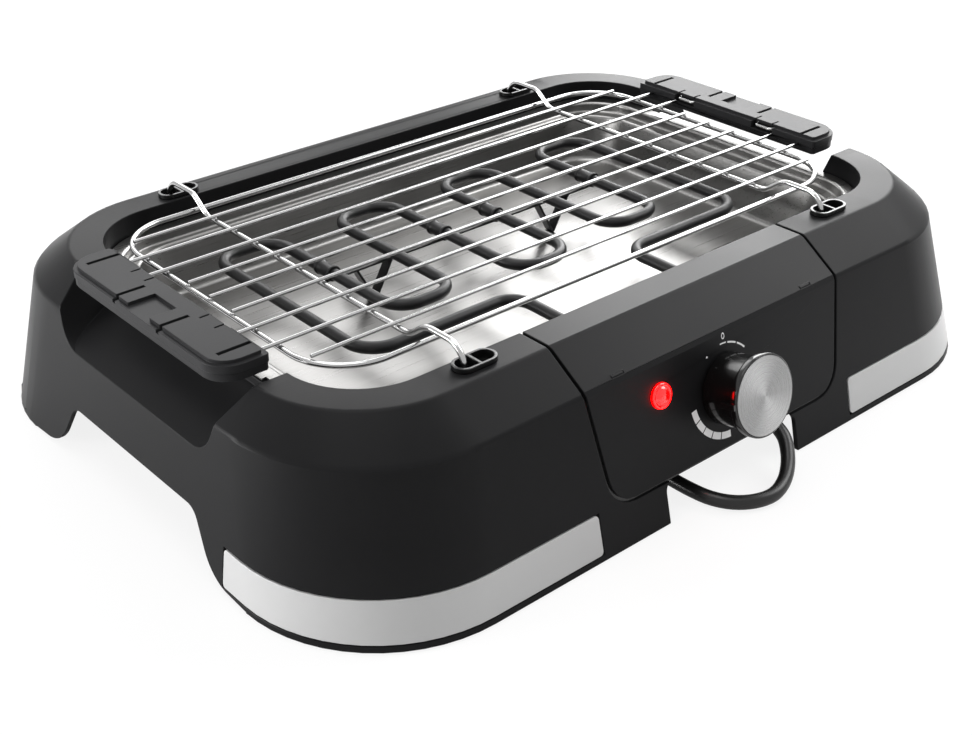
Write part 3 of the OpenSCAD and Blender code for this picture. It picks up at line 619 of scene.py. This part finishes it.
# %% Spun cap
CAP_STEPS = [
    (20.1, 24.16), (20.2, 24.3), (20.2, 24.8), (20.1, 25.05), (19.85, 25.18), (19.5, 25.2),
    (15, 25.2), (11, 25.2), (7, 25.2), (4, 25.2), (2, 25.2), (0.8, 25.2), (0.2, 25.2),
]
cap = turned("dial_cap", CAP_STEPS, 96)
polar = cap.data.uv_layers.new(name="polar") if not cap.data.uv_layers else cap.data.uv_layers[0]
for face in cap.data.polygons:
    middle = math.atan2(face.center.y, face.center.x)
    for loop in face.loop_indices:
        point = cap.data.vertices[cap.data.loops[loop].vertex_index].co
        angle = math.atan2(point.y, point.x)
        angle += 2 * math.pi * round((middle - angle) / (2 * math.pi))
        polar.data[loop].uv = (angle / (2 * math.pi), point.xy.length)
on_panel(cap, 0, KNOB_Z)
pick(cap)
bpy.ops.object.shade_smooth_by_angle(angle=math.radians(35))
settle(cap, "knob", "cap_aluminium", "knob_cap")

# %% [markdown]
# ## Lamp
# The lamp is a red lens that stands a few millimetres proud. A collar runs round a small dome.

# %% Lamp lens
LAMP_X, LAMP_Z = -45.4, 65.3
LENS_STEPS = [
    (4.9, -2.4), (4.9, 0.12), (6.3, 0.15), (6.5, 0.35), (6.5, 1.1), (6.35, 1.6), (6.0, 1.9),
    (5.5, 1.95), (5.1, 1.75), (4.85, 1.7), (4.6, 1.95), (4.2, 2.4), (3.6, 2.8), (2.8, 3.1),
    (1.9, 3.3), (1.0, 3.38), (0.2, 3.4),
]
lens = on_panel(turned("lamp_dome", LENS_STEPS, 48), LAMP_X, LAMP_Z)
pick(lens)
bpy.ops.object.shade_smooth_by_angle(angle=math.radians(40))
settle(lens, "control_unit", "lamp_red", "lamp_lens")

# %% [markdown]
# ## Dial print
# The scale round the knob is white print: a broad arc in segments for the full heat, a few dashes
# for the warm range, a dot and a nought for off. Print is a very thin slab on the panel.

# %% Wedge, dashes, dot and nought
PRINT_LOW, PRINT_HIGH = -0.05, 0.06
marks = []
WEDGE_CUTS, WEDGE_GAP, WEDGE_IN, WEDGE_OUT = [188, 205, 221, 237, 253, 270], 1.6, 22.7, 26.3
DASH_R, DOT_R, DOT_AT = 23.4, 22.6, math.radians(119)
for start, end in zip(WEDGE_CUTS, WEDGE_CUTS[1:]):
    outline = arc_points(WEDGE_OUT, start + WEDGE_GAP / 2, end - WEDGE_GAP / 2, 6)
    outline += arc_points(WEDGE_IN, end - WEDGE_GAP / 2, start + WEDGE_GAP / 2, 6)
    marks.append(flat_shape("wedge", outline, PRINT_LOW, PRINT_HIGH))
for start, end, thick in ((92, 81, 0.7), (78, 63, 0.9), (60, 44, 0.9)):
    outline = arc_points(DASH_R, start, end, 5) + arc_points(DASH_R - thick, end, start, 5)
    marks.append(flat_shape("dash", outline, PRINT_LOW, PRINT_HIGH))
dot = flat_shape("dot", arc_points(0.55, 0, 330, 11), PRINT_LOW, PRINT_HIGH)
place_piece(dot, (DOT_R * MM * math.cos(DOT_AT), DOT_R * MM * math.sin(DOT_AT), 0))
marks.append(dot)
for mark in marks:
    on_panel(mark, 0, KNOB_Z)

deselect()
bpy.ops.mesh.primitive_torus_add(
    major_segments=28, minor_segments=6, major_radius=0.95 * MM, minor_radius=0.22 * MM)
nought = bpy.context.object
nought.scale = (1, 1.45, 0.25)
bpy.ops.object.transform_apply(scale=True)
place_piece(nought, (1.9 * MM, 26.6 * MM, 0))
marks.append(on_panel(nought, 0, KNOB_Z))
pick(*marks)
bpy.ops.object.join()
dial_print = bpy.context.object
dial_print.name = "dial_print"
settle(dial_print, "control_unit", "print_white")


# %% [markdown]
# ## Rounded rings, stacked
# A pressed tray is a set of rounded rectangles at different heights. A plane with its four corners
# bevelled and its face deleted is one such ring. Each new ring is joined to the piece and bridged to
# the last one, which makes a wall with its vertices in clean rows.

# %% Rings and walls
RING_FACETS = 20


def rounded_ring(half_x, half_y, radius, height, facets=RING_FACETS):
    """One rounded rectangle as a loop of edges. Sizes in millimetres."""
    deselect()
    bpy.ops.mesh.primitive_plane_add(size=2, location=(0, 0, height * MM))
    ring = bpy.context.object
    ring.scale = (half_x * MM, half_y * MM, 1)
    bpy.ops.object.transform_apply(location=True, scale=True)
    bpy.ops.object.mode_set(mode="EDIT")
    bpy.ops.mesh.select_all(action="SELECT")
    bpy.ops.mesh.bevel(offset=radius * MM, segments=facets, affect="VERTICES")
    bpy.ops.mesh.select_all(action="SELECT")
    bpy.ops.mesh.delete(type="ONLY_FACE")
    bpy.ops.object.mode_set(mode="OBJECT")
    return ring


def stacked(name, rings, facets=RING_FACETS, both_closed=False):
    """A wall through all the rings, each (half x, half y, radius, height), with its last one closed."""
    ring_count = 4 * (facets + 1)
    piece = rounded_ring(*rings[0], facets)
    piece.name = name
    for ring in rings[1:]:
        pick(rounded_ring(*ring, facets), piece)
        bpy.ops.object.join()
        bpy.ops.object.mode_set(mode="EDIT")
        bpy.ops.mesh.select_mode(type="VERT")
        bpy.ops.mesh.select_all(action="DESELECT")
        bpy.ops.object.mode_set(mode="OBJECT")
        total = len(piece.data.vertices)
        for vertex in piece.data.vertices:
            vertex.select = vertex.index >= total - 2 * ring_count
        bpy.ops.object.mode_set(mode="EDIT")
        bpy.ops.mesh.bridge_edge_loops()
        bpy.ops.object.mode_set(mode="OBJECT")
    total = len(piece.data.vertices)
    for first in ([0, total - ring_count] if both_closed else [total - ring_count]):
        bpy.ops.object.mode_set(mode="EDIT")
        bpy.ops.mesh.select_all(action="DESELECT")
        bpy.ops.object.mode_set(mode="OBJECT")
        for vertex in piece.data.vertices:
            vertex.select = first <= vertex.index < first + ring_count
        bpy.ops.object.mode_set(mode="EDIT")
        bpy.ops.mesh.edge_face_add()
        bpy.ops.object.mode_set(mode="OBJECT")
    return piece


def block(name, low, high):
    """A plain box between two corners, to cut with or to weld on."""
    outline = [(low[0], low[1]), (high[0], low[1]), (high[0], high[1]), (low[0], high[1])]
    return flat_shape(name, outline, low[2], high[2])


# %% [markdown]
# ## Drip tray
# The tray is pressed from steel sheet: a flat flange, a step, a sloping wall and a flat floor, with a
# round at every bend. Its inner face is drawn ring by ring, no two of them at the same height, since
# a bridge between two flat rings can join them crosswise. Solidify gives the sheet its thickness.
# A notch lets the ends of the heating element through, and the flange is wider at both ends, where
# the tray can be lifted.

# %% Pressed steel tray
TRAY_T = 1.0
TRAY_RINGS = [
    (195, 119.5, 39.5, 85.7), (189.4, 113.9, 35.0, 85.68), (188.4, 112.9, 34.2, 85.4),
    (187.8, 112.3, 33.8, 84.8), (187.5, 112.0, 33.5, 84.0), (187.5, 112.0, 33.5, 80.4),
    (187.2, 111.7, 33.3, 79.7), (186.6, 111.1, 32.9, 79.25), (185.8, 110.3, 32.3, 79.12),
    (181.6, 109.1, 31.6, 79.1), (180.6, 108.4, 31.1, 78.9), (179.9, 107.9, 30.7, 78.3),
    (179.4, 107.6, 30.4, 77.2), (173.9, 104.6, 28.1, 52.6), (173.3, 104.1, 27.7, 51.0),
    (172.3, 103.3, 27.1, 49.8), (171.0, 102.2, 26.2, 49.2), (169.2, 100.6, 25.0, 49.0),
]
NOTCH_HALF, NOTCH_IN, NOTCH_OUT, NOTCH_LOW, NOTCH_HIGH = 50, -96.5, -130, 70, 95
LIP_HALF, LIP_OUT, LIP_IN, LIP_LOW, LIP_HIGH = 59.4, 197.4, 193.0, 84.75, 85.65
tray = stacked("steel_tray", TRAY_RINGS)
face_outwards(tray)
pick(tray)
upward = max(tray.data.polygons, key=lambda face: len(face.vertices)).normal.z > 0
shape_with(tray, "SOLIDIFY", thickness=TRAY_T * MM, offset=-1 if upward else 1)
place_piece(tray, on_frame((0, 0, 0)))
for side in (-1, 1):
    ends = sorted((side * LIP_IN, side * LIP_OUT))
    lip = block("lip", (ends[0], -LIP_HALF, LIP_LOW), (ends[1], LIP_HALF, LIP_HIGH))
    combine(tray, place_piece(lip, on_frame((0, 0, 0))), "UNION")
notch = block("notch", (-NOTCH_HALF, NOTCH_OUT, NOTCH_LOW), (NOTCH_HALF, NOTCH_IN, NOTCH_HIGH))
combine(tray, place_piece(notch, on_frame((0, 0, 0))), "DIFFERENCE")
soften(tray, 0.25, angle=40, crisp=40)
settle(tray, "tray", "tray_steel", "drip_tray")

# %% [markdown]
# ## Sleeves on the heating tube
# Four steel collars hold the tube to the strip below it. Each has a raised bead at both ends, and is
# turned once and copied to its place.

# %% Sleeves
SLEEVE_STEPS = [
    (3.4, -6.5), (4.2, -6.5), (4.5, -6.3), (4.55, -6.0), (4.55, -5.2), (4.4, -4.9), (4.05, -4.7),
    (3.95, -4.3), (3.95, 4.3), (4.05, 4.7), (4.4, 4.9), (4.55, 5.2), (4.55, 6.0), (4.5, 6.3),
    (4.2, 6.5), (3.4, 6.5),
]
TUBE_Z, SLEEVE_Y = 76, 29
sleeves = []
for x in (-98, -19.5, 19.5, 98):
    sleeve = turned("sleeve", SLEEVE_STEPS, 40)
    sleeves.append(place_piece(sleeve, on_frame((x, SLEEVE_Y, TUBE_Z)), (math.pi / 2, 0, 0)))
pick(*sleeves)
bpy.ops.object.join()
sleeve_set = bpy.context.object
sleeve_set.name = "heater_sleeves"
bpy.ops.object.shade_smooth_by_angle(angle=math.radians(50))
settle(sleeve_set, "control_unit", "element_black", "element_sleeves")

# %% [markdown]
# ## Weld spots on the rack
# Each rod is spot welded to the two cross wires and to the ring. A weld shows as a small flattened
# bead in the corner between the wires. One bead is shaped and then copied to every crossing.

# %% Weld spots
ROD_PITCH, RACK_SHIFT, CROSS_X = 20, -5.8, 128.2
FRAME_HALF_L, WELD_Z = 181, 99.9
spots = [(side * CROSS_X, row * ROD_PITCH) for side in (-1, 1) for row in range(-4, 5)]
spots += [(side * FRAME_HALF_L, row * ROD_PITCH) for side in (-1, 1) for row in range(-3, 4)]
beads = []
for x, y in spots:
    deselect()
    bpy.ops.mesh.primitive_uv_sphere_add(segments=14, ring_count=8, radius=1.0 * MM)
    bead = bpy.context.object
    bead.scale = (1.15, 1.15, 0.7)
    bpy.ops.object.transform_apply(scale=True)
    bpy.ops.object.mode_set(mode="EDIT")
    bpy.ops.mesh.select_all(action="SELECT")
    bpy.ops.mesh.vertices_smooth(factor=0.4)
    bpy.ops.object.mode_set(mode="OBJECT")
    beads.append(place_piece(bead, on_frame((x + RACK_SHIFT, y, WELD_Z))))
pick(*beads)
bpy.ops.object.join()
welds = bpy.context.object
welds.name = "weld_spots"
bpy.ops.object.shade_smooth()
settle(welds, "rack", "rack_chrome")

# %% [markdown]
# ## Housing
# The housing keeps the CAD model's shell, with two changes. The arch at each end gets a rounded top
# and a flared foot, and the rear bands are shorter, so the groove that held the rest of them is
# filled level with the wall. Each fill is a thin ring of the wall's own slope, cut down to the place.
# Both fills become one object first, and are welded on in one step.

# %% Housing shell
WALL_END, WALL_SIDE, WALL_R, WALL_FACETS, END_LEAN = 243.5, 184.0, 80.0, 14, 0.14
FILL_LOW, FILL_HIGH, FILL_DEPTH = 3.8, 25.2, 1.9
REAR_BAND_Y = 146
FILL_LONG = (84.2, REAR_BAND_Y - 0.6)
FILL_WIDE = (150, 250)
CUT_REACH, CUT_TOP = 260, 40
ARCH_FLARE, ARCH_FOOT, ARCH_TOP = (104, 1.2), (75, 3), (58, 32)


def wall_ring(height, inset):
    """One ring of the sloping outer wall."""
    return (
        WALL_END - END_LEAN * height - inset, WALL_SIDE - SIDE_FLARE * height - inset, WALL_R - inset, height)


def rounded_corner(before, corner, after, radius, steps=10):
    """Points of the arc that rounds one corner of a path."""
    before, corner, after = Vector(before), Vector(corner), Vector(after)
    back, on = (before - corner).normalized(), (after - corner).normalized()
    half = back.angle(on) / 2
    middle = corner + (back + on).normalized() * radius / math.sin(half)
    start = corner + back * radius / math.tan(half) - middle
    sweep = start.angle_signed(corner + on * radius / math.tan(half) - middle)
    turned_by = [-sweep * k / steps for k in range(steps + 1)]
    return [(
        middle.x + start.x * math.cos(a) - start.y * math.sin(a),
        middle.y + start.x * math.sin(a) + start.y * math.cos(a)) for a in turned_by]


def merge_close(piece, distance):
    """Merges vertices that lie closer than so many millimetres."""
    pick(piece)
    bpy.ops.object.mode_set(mode="EDIT")
    bpy.ops.mesh.select_all(action="SELECT")
    bpy.ops.mesh.remove_doubles(threshold=distance * MM)
    bpy.ops.object.mode_set(mode="OBJECT")
    return piece


housing = copy_of("housing", "housing_shell", 0.1, merge=False)
fills = []
for side in (-1, 1):
    outer, inner = (
        stacked("fill", [wall_ring(FILL_LOW - grow, inset), wall_ring(FILL_HIGH + grow, inset)],
                WALL_FACETS, both_closed=True)
        for grow, inset in ((0, 0), (1, FILL_DEPTH)))
    fill = combine(face_outwards(outer), face_outwards(inner), "DIFFERENCE")
    ends = sorted(side * x for x in FILL_WIDE)
    part = block("part", (ends[0], FILL_LONG[0], 0), (ends[1], FILL_LONG[1], CUT_TOP))
    combine(fill, part, "INTERSECT")
    fills.append(place_piece(fill, on_frame((0, 0, 0))))
pick(*fills)
bpy.ops.object.join()
combine(housing, bpy.context.object, "UNION")
half_arch = [(ARCH_FLARE[0], -1), ARCH_FLARE]
half_arch += rounded_corner(ARCH_FLARE, ARCH_FOOT, ARCH_TOP, 26)
half_arch += rounded_corner(ARCH_FOOT, ARCH_TOP, (0, ARCH_TOP[1]), 10)
whole_arch = half_arch + [(-y, z) for y, z in reversed(half_arch)]
arch = flat_shape("arch", whole_arch, -CUT_REACH, CUT_REACH)
combine(housing, place_piece(arch, on_frame((0, 0, 0)), (math.pi / 2, 0, math.pi / 2)), "DIFFERENCE")
merge_close(housing, 0.05)
print("housing", len(housing.data.polygons), "faces", [round(v, 4) for v in housing.dimensions])
soften(housing, 0.5, crisp=14, clamp=False)
settle(housing, "housing", "housing_black", "housing")

# %% [markdown]
# ## Control panel and its joint
# Two blocks behind the panel, which take its screws, reach a little way out of its slanted shoulder.
# A thin black lip lies sunk in the joint round the panel, and it also stands in for the shade seen through
# the gap there.

# %% Panel and joint lip, which also stands in for the shade in the joint
SHOULDER, RIM = (-163.5, 82), (-140.0, 97.4)
BLOCK_X, BLOCK_REACH = 69, 7
PARE_FROM, PARE_TO, PARE_IN, PARE_OUT = -0.5, 14, 0.03, 5
PANEL_HALF, PANEL_HALF_LOW, PANEL_LOW, PANEL_R = 91.5, 83, 23.3, 16
LIP_OUT_BY, LIP_IN_BY, LIP_FRONT, LIP_BACK, LIP_DOWN = 1.3, -0.8, -1.4, -4.2, 3

panel = copy_of("control_panel", "front_panel", 0.1, merge=False)
slope = (Vector(RIM) - Vector(SHOULDER)).normalized()
outwards = Vector((-slope.y, slope.x))
corners = ((PARE_FROM, PARE_IN), (PARE_TO, PARE_IN), (PARE_TO, PARE_OUT), (PARE_FROM, PARE_OUT))
outline = [Vector(SHOULDER) + slope * along + outwards * out for along, out in corners]
for side in (-1, 1):
    ends = sorted((side * (BLOCK_X - BLOCK_REACH), side * (BLOCK_X + BLOCK_REACH)))
    paring = flat_shape("paring", [(p.x, p.y) for p in outline], *ends)
    combine(panel, place_piece(paring, on_frame((0, 0, 0)), (math.pi / 2, 0, math.pi / 2)), "DIFFERENCE")
merge_close(panel, 0.1)
soften(panel, 0.45, crisp=14, clamp=False)
settle(panel, "control_unit", "panel_black", "control_panel")


def panel_edge(out):
    """The sides and the rounded foot of the panel's outline, moved out by so much, on its own slope."""
    lean = 1 / math.cos(PANEL_TILT)
    top = (PANEL_HALF + out, (SHOULDER[1] - LIP_DOWN) * lean)
    foot = (PANEL_HALF_LOW + out, (PANEL_LOW - out) * lean)
    right = [top] + rounded_corner(top, foot, (0, foot[1]), PANEL_R + out)
    return [(-x, y) for x, y in right] + list(reversed(right))


# The lip is a dark sheet in the joint that stands in for the shade seen through the gap.
shade_lip_outline = panel_edge(LIP_OUT_BY) + list(reversed(panel_edge(LIP_IN_BY)))
lip = flat_shape("joint_shade_lip", shade_lip_outline, LIP_BACK, LIP_FRONT)
settle(on_panel(lip, 0, 0), "control_unit", "socket_black")

# %% [markdown]
# ## Trim bands
# The four grey bands are inlaid plates with slightly rounded corners. The four short edges at the
# ends of each band are found by their length, and a wide bevel rounds them before the fine one.

# %% Trim bands
BAND_T, BAND_CORNER = 1.3, 2.2
for node, name in (("trim_front_left", "band_front_left"), ("trim_front_right", "band_front_right"),
                   ("trim_rear_left", "band_rear_left"), ("trim_rear_right", "band_rear_right")):
    band = copy_of(node, name)
    if "rear" in node:
        rear = block("rear", (-CUT_REACH, REAR_BAND_Y, 0), (CUT_REACH, CUT_REACH, CUT_TOP))
        combine(band, place_piece(rear, on_frame((0, 0, 0))), "INTERSECT")
    pick(band)
    bpy.ops.object.mode_set(mode="EDIT")
    bpy.ops.mesh.select_mode(type="EDGE")
    bpy.ops.mesh.select_all(action="DESELECT")
    bpy.ops.object.mode_set(mode="OBJECT")
    for edge in band.data.edges:
        a, b = (band.data.vertices[i].co for i in edge.vertices)
        faces = [face for face in band.data.polygons if edge.key in face.edge_keys]
        turn_angle = faces[0].normal.angle(faces[1].normal) if len(faces) == 2 else 0
        edge.select = (a - b).length < 1.6 * BAND_T * MM and turn_angle > math.radians(60)
    print(name, "corner edges", sum(edge.select for edge in band.data.edges))
    bpy.ops.object.mode_set(mode="EDIT")
    bpy.ops.mesh.bevel(offset=BAND_CORNER * MM, segments=6)
    bpy.ops.object.mode_set(mode="OBJECT")
    soften(band, 0.25, angle=40, crisp=40)
    settle(band, "housing", "trim_grey", node)


# %% [markdown]
# ## The remaining parts
# These keep the CAD model's shape and get soft edges. The numbers are the width of the bevel and the
# distance at which corners are welded, in millimetres.

# %% Copies with soft edges
COPIES = [
    ("rack_sockets", "wire_sockets", "housing", "socket_black", 0.3, 0.05),
    ("rubber_feet", "round_feet", "housing", "foot_rubber", 0.5, 0.01),
    ("foot_screws", "foot_screw_set", "housing", "plain_steel", 0.2, 0.01),
    ("plug", "plug_body", "housing", "lead_black", 1.2, 0.01),
    ("plug_pins", "plug_pin_pair", "housing", "pin_metal", 0.5, 0.01),
    ("control_box", "rear_box", "control_unit", "housing_black", 0.5, 0.1),
    ("control_screws", "panel_screws", "control_unit", "plain_steel", 0.2, 0.01),
    ("thermostat", "thermostat_can", "control_unit", "light_insulator", 0.3, 0.01),
    ("terminal_block", "terminals", "control_unit", "light_insulator", 0.3, 0.01),
    ("lamp_holder", "lamp_socket", "control_unit", "light_insulator", 0.3, 0.01),
    ("strain_relief", "lead_sleeve", "control_unit", "lead_black", 0.4, 0.01),
    ("heating_element", "heater_tube", "control_unit", "element_black", 0, 0.01),
    ("element_plate", "heater_plate", "control_unit", "plain_steel", 0.2, 0.01),
    ("element_support", "heater_stand", "control_unit", "element_black", 0.2, 0.01),
    ("terminal_pins", "heater_pins", "control_unit", "plain_steel", 0.2, 0.01),
    ("knob_shaft", "dial_shaft", "knob", "plain_steel", 0.2, 0.01),
    ("rack_frame", "rack_ring", "rack", "rack_chrome", 0, 0.01),
    ("rack_cross_wires", "rack_crossers", "rack", "rack_chrome", 0, 0.01),
    ("rack_rods", "rack_bars", "rack", "rack_chrome", 0.2, 0.01),
    ("handle_loops", "handle_bows", "rack", "rack_chrome", 0, 0.01),
    ("handle_tops", "grip_tops", "rack", "handle_black", 0.3, 0.05),
    ("handle_bottoms", "grip_bottoms", "rack", "handle_black", 0.3, 0.05),
    ("handle_screws", "grip_screws", "rack", "plain_steel", 0.2, 0.01),
]
KEEP_TRIANGLES = ("handle_tops", "handle_bottoms")
for node, name, body, look, edge, weld in COPIES:
    holed = node in KEEP_TRIANGLES
    piece = copy_of(node, name, weld, merge=not holed)
    soften(piece, edge, crisp=14 if holed else 30, clamp=False)
    settle(piece, body, look, node)

# %% [markdown]
# ## Room and light
# A white table and a white room, as in a product picture. Rays from the camera, and rays that
# polished or clear things send out, see plain white, and everything else is lit more softly, so the
# black plastic stays black. Under the base the table's white fades out, so it looks dark in there. One
# broad lamp behind gives the flat tops their sheen, and four others shape the top and the sides.

# %% Table and world
def white_for_seen_rays(nodes, links, mirrored=1.0):
    """One for rays from the camera, a share for mirrored or refracted ones, nought for the rest."""
    path = nodes.new("ShaderNodeLightPath")
    total = path.outputs["Is Camera Ray"]
    for label in ("Is Glossy Ray", "Is Transmission Ray"):
        scale, larger = nodes.new("ShaderNodeMath"), nodes.new("ShaderNodeMath")
        scale.operation, larger.operation = "MULTIPLY", "MAXIMUM"
        scale.inputs[1].default_value = mirrored
        links.new(path.outputs[label], scale.inputs[0])
        links.new(total, larger.inputs[0])
        links.new(scale.outputs[0], larger.inputs[1])
        total = larger.outputs[0]
    return total


def clear_of_base(nodes, links):
    """Nought under the middle of the base and one outside it, so that the floor is dark in there."""
    place, size = nodes.new("ShaderNodeTexCoord"), nodes.new("ShaderNodeVectorMath")
    shift, split = nodes.new("ShaderNodeVectorMath"), nodes.new("ShaderNodeSeparateXYZ")
    larger, fade = nodes.new("ShaderNodeMath"), nodes.new("ShaderNodeMapRange")
    shift.operation, size.operation, larger.operation = "DIVIDE", "ABSOLUTE", "MAXIMUM"
    shift.inputs[1].default_value = (0.2, 0.145, 1)
    fade.inputs["From Min"].default_value, fade.inputs["From Max"].default_value = 0.85, 1.0
    fade.inputs["To Max"].default_value = 0.85
    links.new(place.outputs["Object"], shift.inputs[0])
    links.new(shift.outputs[0], size.inputs[0])
    links.new(size.outputs[0], split.inputs[0])
    links.new(split.outputs["X"], larger.inputs[0])
    links.new(split.outputs["Y"], larger.inputs[1])
    links.new(larger.outputs[0], fade.inputs["Value"])
    return fade.outputs["Result"]


def white_table():
    """White where it is seen, and plain pale paint for the light that falls on it."""
    material, nodes, links = new_material("white table")
    shader = nodes["Principled BSDF"]
    shader.inputs["Base Color"].default_value = (0.9, 0.9, 0.9, 1)
    shader.inputs["Roughness"].default_value = 0.9
    shine, mix = nodes.new("ShaderNodeEmission"), nodes.new("ShaderNodeMixShader")
    share = nodes.new("ShaderNodeMath")
    share.operation = "MULTIPLY"
    links.new(white_for_seen_rays(nodes, links, 0.3), share.inputs[0])
    links.new(clear_of_base(nodes, links), share.inputs[1])
    links.new(share.outputs[0], mix.inputs["Fac"])
    links.new(shader.outputs[0], mix.inputs[1])
    links.new(shine.outputs[0], mix.inputs[2])
    links.new(mix.outputs[0], nodes["Material Output"].inputs["Surface"])
    return material


deselect()
bpy.ops.mesh.primitive_plane_add(size=12, location=(0, 0, 0))
table = bpy.context.object
table.name = "white_table_top"
table.data.materials.append(white_table())

world = bpy.data.worlds.new("white room")
bpy.context.scene.world = world
world.use_nodes = True
room = world.node_tree
sky = room.nodes["Background"]
sky.inputs["Color"].default_value = (1, 1, 1, 1)
sky.inputs["Strength"].default_value = 0.5
plain = room.nodes.new("ShaderNodeBackground")
plain.inputs["Color"].default_value = (1, 1, 1, 1)
mix = room.nodes.new("ShaderNodeMixShader")
room.links.new(white_for_seen_rays(room.nodes, room.links), mix.inputs["Fac"])
room.links.new(sky.outputs[0], mix.inputs[1])
room.links.new(plain.outputs[0], mix.inputs[2])
room.links.new(mix.outputs[0], room.nodes["World Output"].inputs["Surface"])


# %% Lamps
def soft_lamp(name, place, size, power):
    """A square lamp that faces the grill."""
    deselect()
    bpy.ops.object.light_add(type="AREA", location=place)
    lamp = bpy.context.object
    lamp.name = name
    lamp.data.size = size
    lamp.data.energy = power
    way = Vector((0, 0, 0.06)) - Vector(place)
    lamp.rotation_euler = way.to_track_quat("-Z", "Y").to_euler()
    return lamp


soft_lamp("back lamp", (1.2, 0.68, 0.74), 0.95, 27)
soft_lamp("rear lamp", (0.3, 1.08, 0.8), 0.7, 6)
soft_lamp("right lamp", (1.15, -0.45, 1.05), 0.8, 13)
soft_lamp("top lamp", (-0.3, 0.1, 1.9), 1.2, 14)
soft_lamp("left lamp", (-1.05, 0.42, 0.16), 0.5, 14)
bpy.context.scene.view_settings.view_transform = "Standard"
